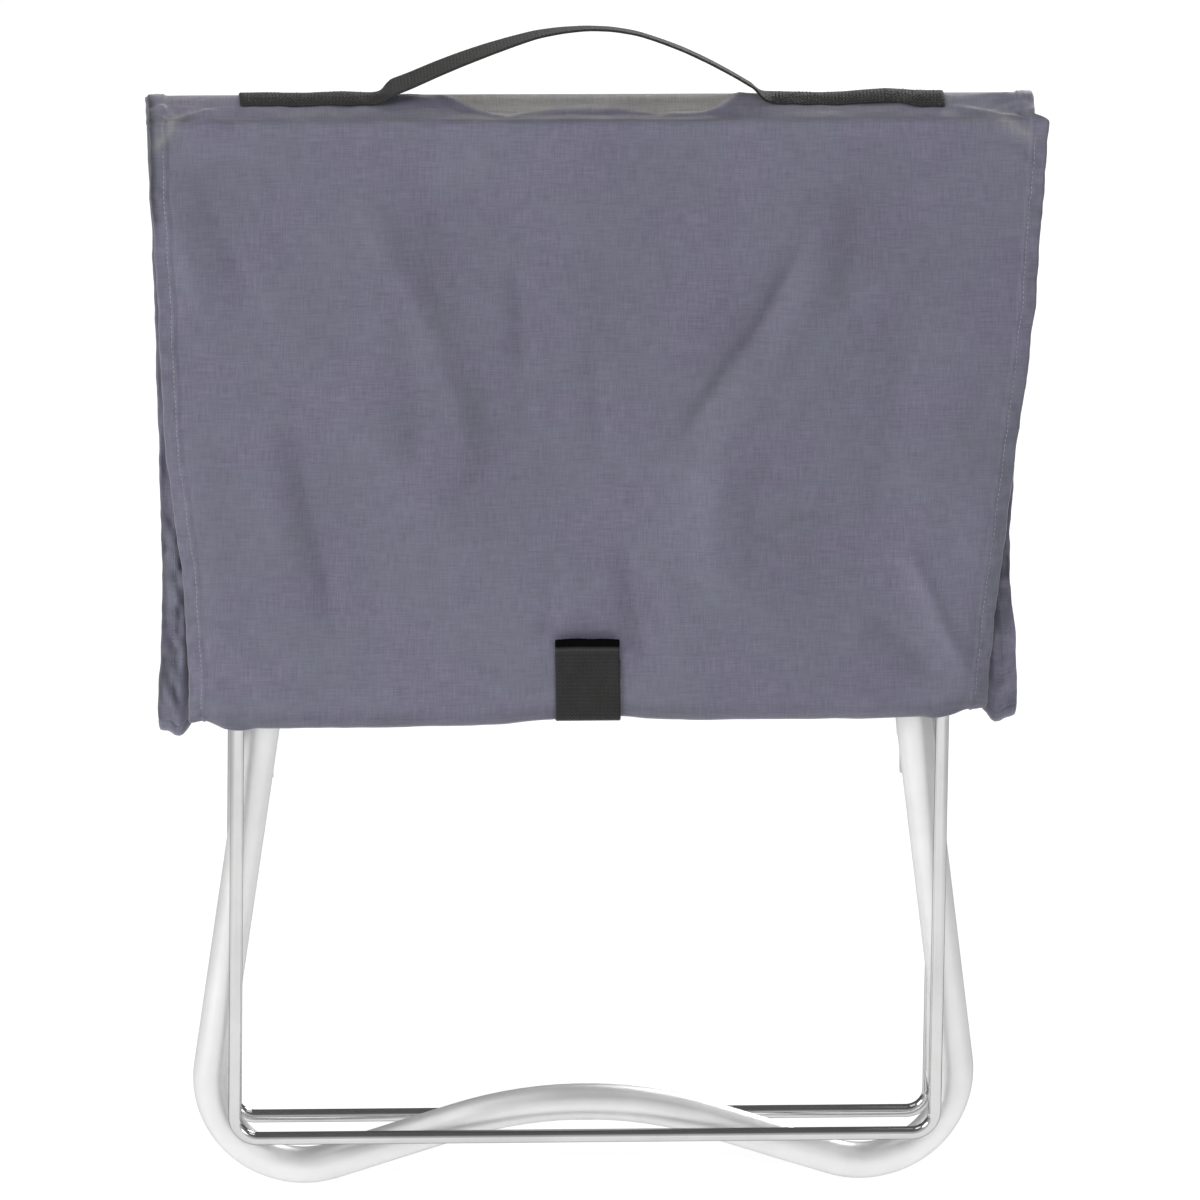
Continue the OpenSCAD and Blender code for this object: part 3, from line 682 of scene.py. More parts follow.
# the top: slack between the handle's feet, lifted where they end
q_top = np.clip(s_row / s_row[TOP_END], 0, 1.35)[:, None]
on_top = smooth((s_row - 5) / 6)[:, None] * (1 - smooth((s_row - s_row[TOP_END] - 1.0) / 6.0))[:, None]
slack = smooth((X + 96) / 20) * smooth((82 - X) / 20)
across = np.sin(np.pi * np.clip((s_row - 9) / (s_row[TOP_END] - 7), 0, 1))[:, None]
top = -(1.9 * slack + 0.55) * across
top += 1.2 * slack * noise2(X / 30 + 0.3, s_row[:, None] / 13, 41) * across
top += 0.7 * noise2(X / 17, s_row[:, None] / 9, 43) * across
top += 0.35 * noise2(X / 7.5, s_row[:, None] / 8, 44) * across
lift = 3.0 * np.exp(-((X + 112) / 16) ** 2) + 2.8 * np.exp(-((X - 88) / 14) ** 2)
top += lift * np.exp(-((s_row[:, None] - 14) / 9) ** 2)
top += 1.6 * np.exp(-((X - 243) / 16) ** 2) * np.exp(-((s_row[:, None] - 9) / 8) ** 2)
# a crest runs from each foot of the handle down to the near edge
for run in ([(-98, 6), (-75, 18.5), (-54, 28)], [(-54, 28), (-40, 22.5), (-8, 20), (12, 20), (39, 25)], [(39, 25), (60, 24), (74, 19), (89, 8)]):
    top += fold(X, np.broadcast_to(s_row[:, None], X.shape), run, 1.15, 2.6, 2.0, 0.12)
# gift-wrap folds and crumples at the two ends of the top
ends = smooth((np.abs(X) - 222) / 14)
top += ends * 0.6 * noise2(X / 8.5 + s_row[:, None] / 9, s_row[:, None] / 7, 75)
top += fold(X, np.broadcast_to(s_row[:, None], X.shape), [(-226, 20), (-244, 28), (-258, 38)], 1.4, 2.4, 3.0, 0.2)
top += fold(X, np.broadcast_to(s_row[:, None], X.shape), [(-262, 14), (-254, 26), (-250, 38)], 1.0, 2.0, 3.0, 0.2)
top += fold(X, np.broadcast_to(s_row[:, None], X.shape), [(206, 18), (232, 27), (262, 36)], 1.3, 2.4, 3.0, 0.2)
relief += top * on_top

# a shallow valley under the near edge of the top
relief += -0.55 * np.exp(-((FZ - 657) / 5.0) ** 2) + 0.35 * np.exp(-((FZ - 669) / 3.0) ** 2)

# the cloth never sinks into the sleeve or the wire under it
dip = -0.8 * np.exp(-((X - 132) / 24) ** 2)
t_sleeve = np.maximum(s_row - math.radians(ARC_END - 60) * 13.45, 0)[:, None]
t_wire = np.where(s_row <= s_row[TOP_END], s_row[TOP_END] - s_row, 0)[:, None]
floor_a = -(np.sqrt(13.45 ** 2 + t_sleeve ** 2) - 13.43) + dip
floor_b = -(np.sqrt(5.7 ** 2 + t_wire ** 2) - 4.9)
on_panel = (s_row < s_row[TOP_END] + 8)[:, None]
relief = np.where(on_panel, np.maximum(relief + dip * on_top * 0, np.maximum(floor_a, floor_b)), relief)
relief = relief + np.where((s_row < s_row[TOP_END])[:, None], dip * np.exp(-(t_sleeve / 7) ** 2), 0)

base = R[:, None, :]
PY = base[..., 0] + base[..., 2] * relief
PZ = base[..., 1] + base[..., 3] * relief
# lower edge
PZ = PZ + flap_bottom(X) * smooth((372 - FZ) / 74)
# the turned-under part stays in front of the wire
roll = smooth((309 - base[..., 1]) / 8) * (base[..., 0] > FLAP_Y + 0.01)
PY = np.where(roll > 0, np.minimum(PY, PY + (FLAP_Y + 1.0 - PY) * np.exp(-((np.abs(X) - 212) / 9.0) ** 4)), PY)
PX = X + 0.35 * noise2(X / 60, FZ / 60, 51)
P_cover = np.stack([PX, PY, PZ], -1)

tone = np.ones(X.shape)
tone -= 0.020 * noise2(X / 60, FZ / 75, 61) + 0.012 * noise2(X / 21, FZ / 25, 62)
tone -= 0.035 * hem
# painted shade where the lower edge turns under
tone -= 0.26 * smooth((311 - (base[..., 1] + 0 * X)) / 8) * (0.75 + 0.6 * noise2(X / 60, 0.4, 63))
# painted light: a little lighter toward the top and on the top, which faces up
tone += 0.05 * down
# painted shade: a dark band on the top just behind its near edge, and a faint one in the valley below that edge
tone -= 0.24 * np.exp(-((FZ - 674.4) / 3.4) ** 2) + 0.03 * np.exp(-((FZ - 658) / 6.0) ** 2)
# the far left border is turned away and lies in shade
tone -= 0.66 * np.exp(-((X - left[:, None]) / 2.5) ** 2) * smooth((FZ - 586) / 42)
# the slack part: painted highlights along a crest and just behind it, painted shade in front of it, in two hollows and
# toward the ends, and painted highlights and shade on the crumples at both ends
SR = np.broadcast_to(s_row[:, None], X.shape)
crest = track([(-130, -4), (-98, 5), (-75, 18.5), (-54, 28), (-44, 23.5), (-27, 20.4), (-8, 19.9), (11, 19.9), (24, 22.2), (39, 25.4),
               (60, 24.1), (74, 19.4), (81, 14.8), (91, 6), (120, -4)], 3)(X)
within = smooth((crest - SR + 1.4) / 2.8) * smooth((X + 104) / 10) * smooth((96 - X) / 10)
near = (1 - within) * smooth((X + 96) / 14) * smooth((90 - X) / 12)
tone += on_top * (0.34 * np.exp(-((SR - crest) / 1.7) ** 2) * smooth((X + 100) / 8) * smooth((94 - X) / 8) * (0.75 + 0.7 * noise2(X / 19, 0.5, 73)))
tone += 0.16 * within * np.exp(-((SR - 4.0) / 4.5) ** 2) * (0.9 + 0.9 * noise2(X / 14, 0.2, 74))
tone -= on_top * 0.14 * near * smooth((SR - 8) / 6)
tone -= on_top * 0.17 * within * (np.exp(-((X - 30) / 13) ** 2 - ((SR - 15) / 6) ** 2) + 0.6 * np.exp(-((X + 70) / 13) ** 2 - ((SR - 11) / 5) ** 2))
tone -= on_top * 0.055 * (1 - within) * smooth((np.abs(X) - 84) / 16)
tone += on_top * ends * 0.19 * (noise2(X / 9 + SR / 8, SR / 6, 77) + 0.5 * noise2(X / 4.5, SR / 4, 78))
# painted shade and painted light: soft patches beside the folds, darker or lighter as the cloth turns from or toward
# the light
for x0, z0, wx, wz, a in ((-229, 610, 17, 38, -0.05), (-104, 590, 24, 52, -0.06), (-80, 485, 22, 42, -0.065), (-168, 415, 20, 62, -0.05),
                          (-47, 548, 9, 42, -0.045), (1, 535, 9, 32, -0.04), (84, 535, 22, 30, -0.055), (158, 604, 26, 36, -0.055),
                          (128, 408, 36, 52, -0.055), (224, 480, 18, 32, -0.045), (26, 375, 12, 30, -0.05), (70, 425, 24, 44, 0.05),
                          (203, 388, 22, 40, 0.045), (-249, 572, 9, 24, 0.06), (-88, 645, 22, 14, 0.045), (-220, 655, 22, 6, 0.05),
                          (-140, 520, 17, 60, 0.03), (-110, 380, 34, 40, 0.03), (96, 640, 30, 18, 0.02), (-215, 345, 26, 22, 0.03)):
    tone += 1.5 * a * np.exp(-((X - x0) / wx) ** 2 - ((FZ - z0) / wz) ** 2) * (1 + 0.5 * noise2(X / 15, FZ / 22, 64))
border_l = np.exp(-(DE / 15.0) ** 2) * smooth((655 - FZ) / 20)
tone += border_l * (0.14 * noise2(FZ / 10, X / 8, 66) + 0.11 * noise2(FZ / 4.5, X / 4, 67) - 0.04)
tone += 0.022 * noise2(X / 13, FZ / 17, 68) * (1 - border_l)
# painted shade along the fold lines
for pts, w in (([(-241, 655), (-214, 585), (-196, 545)], 12), ([(-137, 625), (-100, 560), (-76, 480), (-92, 420)], 17),
               ([(-178, 485), (-163, 408), (-150, 345)], 11), ([(126, 610), (104, 555), (78, 512), (45, 466)], 9),
               ([(19, 412), (30, 345)], 10), ([(-48, 585), (-42, 508)], 8), ([(156, 640), (158, 560)], 18),
               ([(160, 372), (210, 322)], 16), ([(112, 470), (97, 380)], 11)):
    tone -= fold(X, FZ, pts, 0.06, w, w)
# painted light along the ridges
for pts, w in (([(184, 412), (210, 358), (234, 312)], 6), ([(70, 470), (64, 430), (84, 370)], 12), ([(-118, 470), (-100, 420)], 12),
               ([(-262, 640), (-240, 570)], 8)):
    tone += fold(X, FZ, pts, 0.05, w, w)
thick = 0.8 + 0.9 * hem + 0.7 * smooth((301.5 - base[..., 1] + 0 * X) / 1.5)
uv = np.stack([PX, np.broadcast_to(s_row[:, None], X.shape)], -1) * MM
# painted sheen: where the slack top would catch the light it is painted paler and greyer
painted_sheen = on_top * (0.05 + 0.93 * within + 0.24 * noise2(X / 26, SR / 10, 65)) * smooth((SR - 1) / 5)
# painted highlights on the crumpled folds at the two top corners
painted_sheen += 0.45 * np.maximum(0, fold(X, FZ, [(-246, 680), (-256, 666), (-266, 652)], 1.0, 4, 5) + fold(X, FZ, [(228, 680), (248, 668), (267, 656)], 1.0, 3, 4))
painted_sheen = np.clip(painted_sheen, 0, 1)
cover = shell("cover_flap_cloth", P_cover, thick, M_CLOTH, uv, tone=tone, painted_sheen=painted_sheen)
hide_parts("cover_flap", "top_panel")

# normals of the cover, for what lies on it
nc = np.cross(np.gradient(P_cover, axis=1), np.gradient(P_cover, axis=0))
nc /= np.linalg.norm(nc, axis=2, keepdims=True)
if nc[TOP_END, 100, 2] < 0:
    nc = -nc


def on_cover(x, s, up=0.0):
    """The point on the cover's outer face at x and path length s, and its normal."""
    x, s = np.broadcast_arrays(np.asarray(x, float), np.asarray(s, float))
    i = np.clip(np.interp(s, s_row, np.arange(len(s_row))), 0, len(s_row) - 1.001)
    i0 = i.astype(int)
    fi = i - i0
    out = np.zeros(x.shape + (3,))
    nor = np.zeros(x.shape + (3,))
    for row, wrow in ((i0, 1 - fi), (i0 + 1, fi)):
        for k in np.ndindex(x.shape):
            r = row[k]
            j = np.clip(np.interp(x[k], P_cover[r, :, 0], np.arange(P_cover.shape[1])), 0, P_cover.shape[1] - 1.001)
            j0 = int(j)
            fj = j - j0
            h = thick[r, j0] / 2 + up
            out[k] += wrow[k] * ((P_cover[r, j0] + nc[r, j0] * h) * (1 - fj) + (P_cover[r, j0 + 1] + nc[r, j0 + 1] * h) * fj)
            nor[k] += wrow[k] * (nc[r, j0] * (1 - fj) + nc[r, j0 + 1] * fj)
    nor /= np.linalg.norm(nor, axis=-1, keepdims=True)
    return out, nor


def cover_line(pts):
    """A stitch line on the cover: (x, s) points."""
    p = np.array(pts, float)
    return on_cover(p[:, 0], p[:, 1])


rows_flap = np.arange(BEND_END + 4, len(s_row) - 12)
runs = []
for side, seed in ((0, 71), (1, 73)):
    edge = left if side == 0 else right
    sgn = 1 if side == 0 else -1
    line = [(edge[i] + sgn * (7.0 + 0.3 * noise2(s_row[i] / 30, 0.5, seed)), s_row[i]) for i in rows_flap]
    a, b = cover_line(line)
    runs.append(stitch_run(a, b, 3.1, 2.3, 0.33))
stitches("flap_hem_stitches", runs, M_THREAD, "rear_prop")

# ------------------------------------------------------------------ the sling: back cloth, fold and seat cloth
back_left = track([(690, -267.0), (640, -265), (600, -262.8), (560, -261.2), (520, -260.3), (460, -258.4), (400, -256.2), (350, -256.8), (290, -258.8)], 10)
back_right = track([(690, 259.4), (650, 260.5), (600, 261.5), (540, 258), (470, 253), (425, 250.5), (385, 250.5), (340, 256), (290, 259)], 10)


def droop(x):
    """How far the sling's lower edge hangs below its straight line; the corners hang lowest."""
    return (-15.0 * np.exp(-((x + 246) / 8.5) ** 2) - 9.0 * smooth((-250 - x) / 8) * np.exp(-((x + 246) / 30) ** 2)
            - 9.0 * np.exp(-((x - 246) / 8.0) ** 2) - 2.5 * smooth((x - 250) / 6) + 3.2 * np.exp(-((x - 239.5) / 3.6) ** 2)
            + 0.5 * noise2(x / 35, 0.2, 81))


def sling_shape(x, z, seed):
    """Soft unevenness of the back and seat cloths."""
    h = 1.1 * noise2(x / 95, z / 120, seed) + 0.45 * noise2(x / 38, z / 44, seed + 1) + 0.14 * noise2(x / 14, z / 15, seed + 2)
    h += fold(x, z, [(-150, 360), (-90, 420), (-60, 520)], 1.1, 16, 12) + fold(x, z, [(150, 350), (100, 430), (50, 500)], 1.2, 13, 16)
    h += fold(x, z, [(-60, 330), (-20, 420), (-30, 540)], -1.0, 13, 13) + fold(x, z, [(190, 600), (150, 520), (140, 440)], 1.0, 14, 12)
    h += fold(x, z, [(-200, 620), (-165, 560), (-150, 470)], -1.1, 12, 14)
    return h


def border(x, z, le, re):
    """0 inside the frame's rails and 1 at the sling's edge."""
    inner = 224 + 30 * smooth((z - 480) / 150)
    return np.where(x < 0, smooth((-x - inner) / (-le - inner)), smooth((x - inner) / (re - inner)))


SLING_LOW = 305.0
COLS = 214
# back cloth: up the front of the tube, round it, and back to its own seam
rt = 12.6
ang_end = 300.0
arc = np.linspace(0, ang_end, 46)
z_up = np.concatenate([np.linspace(SLING_LOW, 350, 24), np.linspace(350, 640, 120)[1:], np.linspace(640, Z_TOP, 14)[1:]])
n_up = len(z_up)
rows_b = n_up + len(arc) - 1
zz = np.concatenate([z_up, Z_TOP + np.radians(arc[1:]) * rt])
lb, rb = back_left(zz) + wob(zz, 91), back_right(zz) + wob(zz, 95)
XB, DB = edge_columns(lb, rb, MARGINS, COLS)
ZB = np.broadcast_to(zz[:, None], XB.shape)
y0 = Y_TUBE + rt
bord = border(XB, ZB, lb[:, None], rb[:, None])
curl = 24.0 * smooth((590 - ZB) / 150) * (0.5 + 0.5 * smooth((ZB - 300) / 50))
crum = smooth((bord - 0.35) / 0.4)
rel = sling_shape(XB, ZB, 101) * smooth((ZB - 305) / 30) * (1 - smooth((ZB - 640) / 20))
rel_y = -rel * 0.8 - curl * smooth(bord / 0.66)
wr = (1.6 * noise2(ZB / 17, XB / 15, 111) + 1.3 * noise2(ZB / 9.5 + XB / 14, XB / 7, 113) + 0.5 * noise2(ZB / 4.5, XB / 5, 115))
rel_y -= wr * crum * smooth((560 - ZB) / 120) * 1.45
# keep behind the tube at the rails
rail = np.where(ZB > 312, 193.7 + (ZB - 312) * (248 - 193.7) / 356.0, 205)
near_tube = 1 - smooth((np.abs(XB) - rail - 12) / 6)
rel_y = np.where(near_tube > 0, np.maximum(rel_y, -0.3) * near_tube + rel_y * (1 - near_tube), rel_y)
YB = y0 + rel_y
ZB3 = ZB + droop(XB) * smooth((345 - ZB) / 42)
for k in range(1, len(arc)):
    row = n_up + k - 1
    open_end = 300.0 - 122.0 * smooth((np.abs(XB[row]) - 188) / 14)
    a = np.radians(arc[k] / ang_end * open_end)
    r = rt + 0.3 * noise2(XB[row] / 26, arc[k] / 60, 121) + 0.12 * noise2(XB[row] / 9, arc[k] / 40, 122)
    under = smooth((arc[k] - 18) / 8) * (1 - smooth((arc[k] - 125) / 10))  # beneath the cover
    r = np.where(under > 0, np.minimum(r, rt + 0.25 * (1 - under)), r)
    r = np.maximum(r, rt - 0.05) - 0.8 * np.exp(-((XB[row] - 132) / 24) ** 2) * under
    YB[row] = Y_TUBE + r * np.cos(a)
    ZB3[row] = Z_TOP + r * np.sin(a)
hem_b = 1 - smooth((DB - 8.4) / 1.5)
P_back = np.stack([XB, YB, ZB3], -1)
keep = np.ones((P_back.shape[0] - 1, P_back.shape[1] - 1), bool)
cz = 0.25 * (P_back[:-1, :-1] + P_back[1:, :-1] + P_back[:-1, 1:] + P_back[1:, 1:])
window = ((np.abs(np.abs(cz[..., 0]) - 150) < 13.2) & (cz[..., 1] < Y_TUBE + 4.6) & (cz[..., 2] < Z_TOP + 4.5)
          & (np.arange(keep.shape[0])[:, None] >= n_up))
keep &= ~window
s_back = np.concatenate([z_up, Z_TOP + np.radians(arc[1:]) * rt])
uvb = np.stack([XB, np.broadcast_to(s_back[:, None], XB.shape) + 900], -1) * MM
toneb = 1 - 0.04 * hem_b + 0.13 * crum * smooth((560 - ZB) / 100) * noise2(ZB / 9, XB / 6, 131) - 0.02 * noise2(XB / 50, ZB / 60, 132)
shade_b = smooth((XB - 236) / 5) * np.exp(-((ZB - 391) / 24) ** 2) + 0.16 * smooth((-XB - 238) / 5) * smooth((445 - ZB) / 30)
toneb -= 0.36 * shade_b * (0.8 + 1.1 * noise2(ZB / 6, XB / 4, 133))
# painted shade: a dark line along the sling's outer left edge, low down
toneb -= 0.34 * np.exp(-((XB - lb[:, None]) / 2.0) ** 2) * smooth((450 - ZB) / 25)
# painted light: lighter on the left border where the flap casts shadow, and low on the right border
toneb += 0.16 * np.exp(-((XB + 243) / 6) ** 2) * smooth((400 - ZB) / 40) + 0.10 * smooth((XB - 238) / 6) * smooth((362 - ZB) / 20)
thick_b = 0.8 + 0.7 * hem_b
back = shell("back_cloth", P_back, thick_b, M_CLOTH, uvb, keep=keep, tone=toneb)
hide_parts("top_sleeve", "back_fabric")
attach(back, "back_frame")

# seat cloth: up behind the seat tube and round its front bar
rs = 7.85
arc_s = np.linspace(180, -100, 34)
z_up2 = np.concatenate([np.linspace(SLING_LOW, 350, 22), np.linspace(350, 630, 116)[1:], np.linspace(630, 650, 10)[1:]])
n_up2 = len(z_up2)
zz2 = np.concatenate([z_up2, 650 + np.radians(180 - arc_s[1:]) * rs])
ls = np.maximum(back_left(zz2) + 3.0, -261.5) + wob(zz2, 141)
rs_ = np.minimum(back_right(zz2) - 2.0, 260.5) + wob(zz2, 145)
XS, DS = edge_columns(ls, rs_, MARGINS, COLS)
ZS = np.broadcast_to(zz2[:, None], XS.shape)
y1 = 12.95
rel2 = sling_shape(XS * 0.97 + 20, ZS + 12, 151) * smooth((ZS - 305) / 30) * (1 - smooth((ZS - 622) / 20))
rail2 = np.where(ZS > 410, 197.8 + (ZS - 410) * (246 - 197.8) / 240.0, 197.8)
near_seat = np.exp(-((np.abs(XS) - rail2) / 10) ** 2)
rel2 = np.where(rel2 > 0, rel2 * (1 - near_seat), rel2)
gap = rel2 * 0.75
# the two cloths lie against each other and never cross
back_rel = sling_shape(XS, ZS, 101) * smooth((ZS - 305) / 30) * (1 - smooth((ZS - 640) / 20))
YS = np.maximum(y1 + gap, y0 - back_rel * 0.8 + 1.75)
YS = np.minimum(YS, np.where(near_seat > 0.2, 13.25, 16.5))
bord2 = border(XS, ZS, ls[:, None], rs_[:, None])
YS = YS - 9.0 * bord2 ** 1.6 * smooth((560 - ZS) / 130) * smooth((ZS - 300) / 40)
YS = YS + (0.9 * noise2(ZS / 15, XS / 24, 161) + 0.5 * noise2(ZS / 8, XS / 9, 162)) * smooth((bord2 - 0.4) / 0.4)
ZS3 = ZS + droop(XS) * smooth((345 - ZS) / 42)
for k in range(1, len(arc_s)):
    row = n_up2 + k - 1
    share = (180 - arc_s[k]) / 280.0
    open_end = 280.0 - 105.0 * smooth((np.abs(XS[row]) - 188) / 14)
    a = np.radians(180 - share * open_end)
    r = rs + np.maximum(0.25 * noise2(XS[row] / 24, arc_s[k] / 60, 171), -0.05)
    YS[row] = Y_SEAT + r * np.cos(a)
    ZS3[row] = 650 + r * np.sin(a)
hem_s = 1 - smooth((DS - 8.4) / 1.5)
P_seat = np.stack([XS, YS, ZS3], -1)
uvs_ = np.stack([XS, np.broadcast_to(zz2[:, None], XS.shape) + 2000], -1) * MM
tones_ = 1 - 0.04 * hem_s - 0.02 * noise2(XS / 50, ZS / 60, 172)
thick_s = 0.8 + 0.7 * hem_s
seat = shell("seat_cloth", P_seat, thick_s, M_CLOTH, uvs_, tone=tones_)
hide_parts("seat_fabric", "seat_front_sleeve")
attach(seat, "seat_frame")

# the slack loop between back and seat
A, B = P_back[0], P_seat[0]
q = np.linspace(0, 1, 22)[:, None]
xf = A[:, 0][None] * (1 - q) + B[:, 0][None] * q
yf = A[:, 1][None] * (1 - smooth(q)) + B[:, 1][None] * smooth(q)
zf = A[:, 2][None] * (1 - q) + B[:, 2][None] * q - 8.2 * np.sin(np.pi * q) ** 0.75
P_fold = np.stack([xf, yf, zf], -1)
uvf = np.stack([xf, np.broadcast_to(q * 17 + 3000, xf.shape)], -1) * MM
fold_t = 0.8 + 0.7 * (1 - smooth((DB[0] - 8.4) / 1.5))
loop = shell("sling_loop", P_fold, np.broadcast_to(fold_t[None], xf.shape), M_CLOTH, uvf)
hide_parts("sling_fold")


# ------------------------------------------------------------------ stitch lines of the sling
def grid_line(P, thickness, n_sign, rows, cols):
    g = np.cross(np.gradient(P, axis=1), np.gradient(P, axis=0))
    g /= np.linalg.norm(g, axis=2, keepdims=True)
    g *= n_sign
    pts = np.array([P[i, j] + g[i, j] * thickness[i, j] / 2 for i, j in zip(rows, cols)])
    return pts, np.array([g[i, j] for i, j in zip(rows, cols)])


g0 = np.cross(np.gradient(P_back, axis=1), np.gradient(P_back, axis=0))[60, 100]
out_back = 1.0 if g0[1] > 0 else -1.0  # +Y side
g1 = np.cross(np.gradient(P_seat, axis=1), np.gradient(P_seat, axis=0))[60, 100]
out_seat = 1.0 if g1[1] > 0 else -1.0
runs = []
last = P_back.shape[1] - 1
for c in (7, last - 7):
    rr = np.arange(3, n_up - 2)
    for sgn in (out_back, -out_back):
        a, b = grid_line(P_back, thick_b, sgn, rr, [c] * len(rr))
        runs.append(stitch_run(a, b, 3.1, 2.2, 0.32))
cc = np.arange(6, last - 5)
for row in (n_up - 9,):
    a, b = grid_line(P_back, thick_b, out_back, [row] * len(cc), cc)
    runs.append(stitch_run(a, b, 3.2, 2.3, 0.32))
stitches("back_cloth_stitches", runs, M_THREAD2, "back_frame")
runs = []
last = P_seat.shape[1] - 1
for c in (7, last - 7):
    rr = np.arange(3, n_up2 - 2)
    for sgn in (out_seat, -out_seat):
        a, b = grid_line(P_seat, thick_s, sgn, rr, [c] * len(rr))
        runs.append(stitch_run(a, b, 3.1, 2.2, 0.32))
cc = np.arange(6, last - 5)
for row in (n_up2 - 6,):
    for sgn in (out_seat, -out_seat):
        a, b = grid_line(P_seat, thick_s, sgn, [row] * len(cc), cc)
        runs.append(stitch_run(a, b, 3.2, 2.3, 0.32))
stitches("seat_cloth_stitches", runs, M_THREAD2, "seat_frame")

# ------------------------------------------------------------------ carry handle
xh = np.concatenate([np.linspace(-211.5, -134, 42), np.linspace(-134, 104, 120)[1:], np.linspace(104, 206, 50)[1:]])
wh = np.linspace(-12.5, 12.5, 17)
s_mid = 5.2  # path length on the cover under the strap's centre line
foot, foot_n = on_cover(xh[:, None] + 0 * wh[None], s_mid + 2.6 * smooth((xh - 176) / 18)[:, None] + wh[None], 0.78)
rise = track([(-139, 0.0), (-132, 1.2), (-126.6, 2.8), (-111.6, 8.6), (-96.6, 15.4), (-81.6, 21.6), (-66.6, 27.2), (-51.6, 32.3),
              (-36.6, 36.9), (-21.6, 39.4), (-6.6, 40.6), (8.4, 40.0), (23.4, 37.4), (35.4, 33.4), (50.4, 27.6), (65.4, 20.4),
              (80.4, 12.2), (92, 5.0), (99, 1.2), (106, 0.0)], 3.5)
up = rise(xh)
k_arch = smooth(up / 5.0)
centre_z = 683.4 + up
tilt = np.radians(track([(-212, 8), (-130, 7), (-97, 5), (-67, 1), (-37, -6), (-7, -10.5), (30, -10), (60, -8.5), (90, -9), (206, 0)], 8)(xh))
AY = -7.25 - wh[None] * np.cos(tilt)[:, None]
AZ = centre_z[:, None] - wh[None] * np.sin(tilt)[:, None]
PH = np.zeros(foot.shape)
PH[..., 0] = xh[:, None]
PH[..., 1] = foot[..., 1] * (1 - k_arch[:, None]) + AY * k_arch[:, None]
PH[..., 2] = foot[..., 2] * (1 - k_arch[:, None]) + AZ * k_arch[:, None]
# the sewn feet buckle a little between their stitches
buckle = (1.1 * np.exp(-((xh - 170) / 15) ** 2) - 0.2 * np.exp(-((xh - 135) / 12) ** 2) + 0.7 * np.exp(-((xh + 150) / 12) ** 2)
          + 0.35 * np.maximum(noise2(xh / 12, 0.4, 181), 0)) * (1 - k_arch)
PH += foot_n * buckle[:, None, None]
sh = cumlen(PH[:, 8])
uvh = np.stack([np.broadcast_to(sh[:, None], PH.shape[:2]), np.broadcast_to(wh[None] + 12.5, PH.shape[:2])], -1) * MM
toneh = np.ones(PH.shape[:2]) * 1.0
handle = shell("carry_strap", PH, 1.4, M_WEB, uvh, tone=toneh)
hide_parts("carry_handle")
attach(handle, "back_frame")

gh = np.cross(np.gradient(PH, axis=1), np.gradient(PH, axis=0))
gh /= np.linalg.norm(gh, axis=2, keepdims=True)
if gh[20, 8, 2] < 0:
    gh = -gh


def on_strap(pts):
    """(x, w) points to the strap's upper face."""
    out, nor = [], []
    for x, w in pts:
        i = min(max(float(np.interp(x, xh, np.arange(len(xh)))), 0), len(xh) - 1.001)
        j = min(max((w + 12.5) / 25 * (len(wh) - 1), 0), len(wh) - 1.001)
        i0, j0 = int(i), int(j)
        fi, fj = i - i0, j - j0
        p = (PH[i0, j0] * (1 - fi) + PH[i0 + 1, j0] * fi) * (1 - fj) + (PH[i0, j0 + 1] * (1 - fi) + PH[i0 + 1, j0 + 1] * fi) * fj
        n = gh[i0, j0]
        out.append(p + n * 0.7)
        nor.append(n)
    return np.array(out), np.array(nor)


def line2(a, b, n=24):
    return [(a[0] + (b[0] - a[0]) * t, a[1] + (b[1] - a[1]) * t) for t in np.linspace(0, 1, n)]


runs = []
for x0, x1 in ((-207, -178), (-167, -140), (109, 138), (172, 201)):
    w = 9.4
    for a, b in (((x0, -w), (x1, -w)), ((x1, -w), (x1, w)), ((x1, w), (x0, w)), ((x0, w), (x0, -w)), ((x0, -w), (x1, w)), ((x0, w), (x1, -w))):
        p, n = on_strap(line2(a, b))
        runs.append(stitch_run(p, n, 2.7, 2.0, 0.34))
stitches("carry_strap_stitches", runs, M_THREAD3, "back_frame")

# ------------------------------------------------------------------ closing tab, its hook patch, and the strap on the seat
tab_path = [(-33.0, 348.4), (-31.2, 346.2), (-29.4, 343.6), (-28.45, 341.2), (-28.2, 339.0)]
tab_path += [(-28.2, z) for z in np.linspace(336, 306, 22)]
for a in np.linspace(180, 262.6, 12):
    tab_path.append((-24.4 + 3.8 * math.cos(math.radians(a)), 303.6 + 3.8 * math.sin(math.radians(a))))
tab_path += [(y, 295.3 + (13.2 - y) * 0.119) for y in np.linspace(-23, 13.2, 18)]
tab_path = np.array(tab_path)
wt = np.linspace(-20, 20, 25)
nrm2 = np.stack([-np.gradient(tab_path[:, 1]), np.gradient(tab_path[:, 0])], 1)
nrm2 /= np.linalg.norm(nrm2, axis=1, keepdims=True)
st = cumlen(tab_path)
PT = np.zeros((len(tab_path), len(wt), 3))
PT[..., 0] = wt[None] * 0.945 * (1 + 0.012 * noise2(st / 17, 0.7, 191))[:, None] - 2.4 + (0.03 * np.minimum(st, 48.0) - 0.8)[:, None] * (1 - smooth((st - 50) / 30))[:, None]
wave = 0.35 * noise2(st[:, None] / 16, wt[None] / 14, 193) * smooth((46 - st) / 10)[:, None]
wave -= 0.5 * (np.abs(wt[None]) / 20) ** 4 * smooth((46 - st) / 10)[:, None]
PT[..., 1] = tab_path[:, 0][:, None] + wave * 0.7
PT[..., 2] = tab_path[:, 1][:, None] + 4.2 * smooth((46 - st) / 40)[:, None] + 0.5 * noise2(wt[None] / 13, 0.1, 195) * smooth((8 - st) / 6)[:, None]
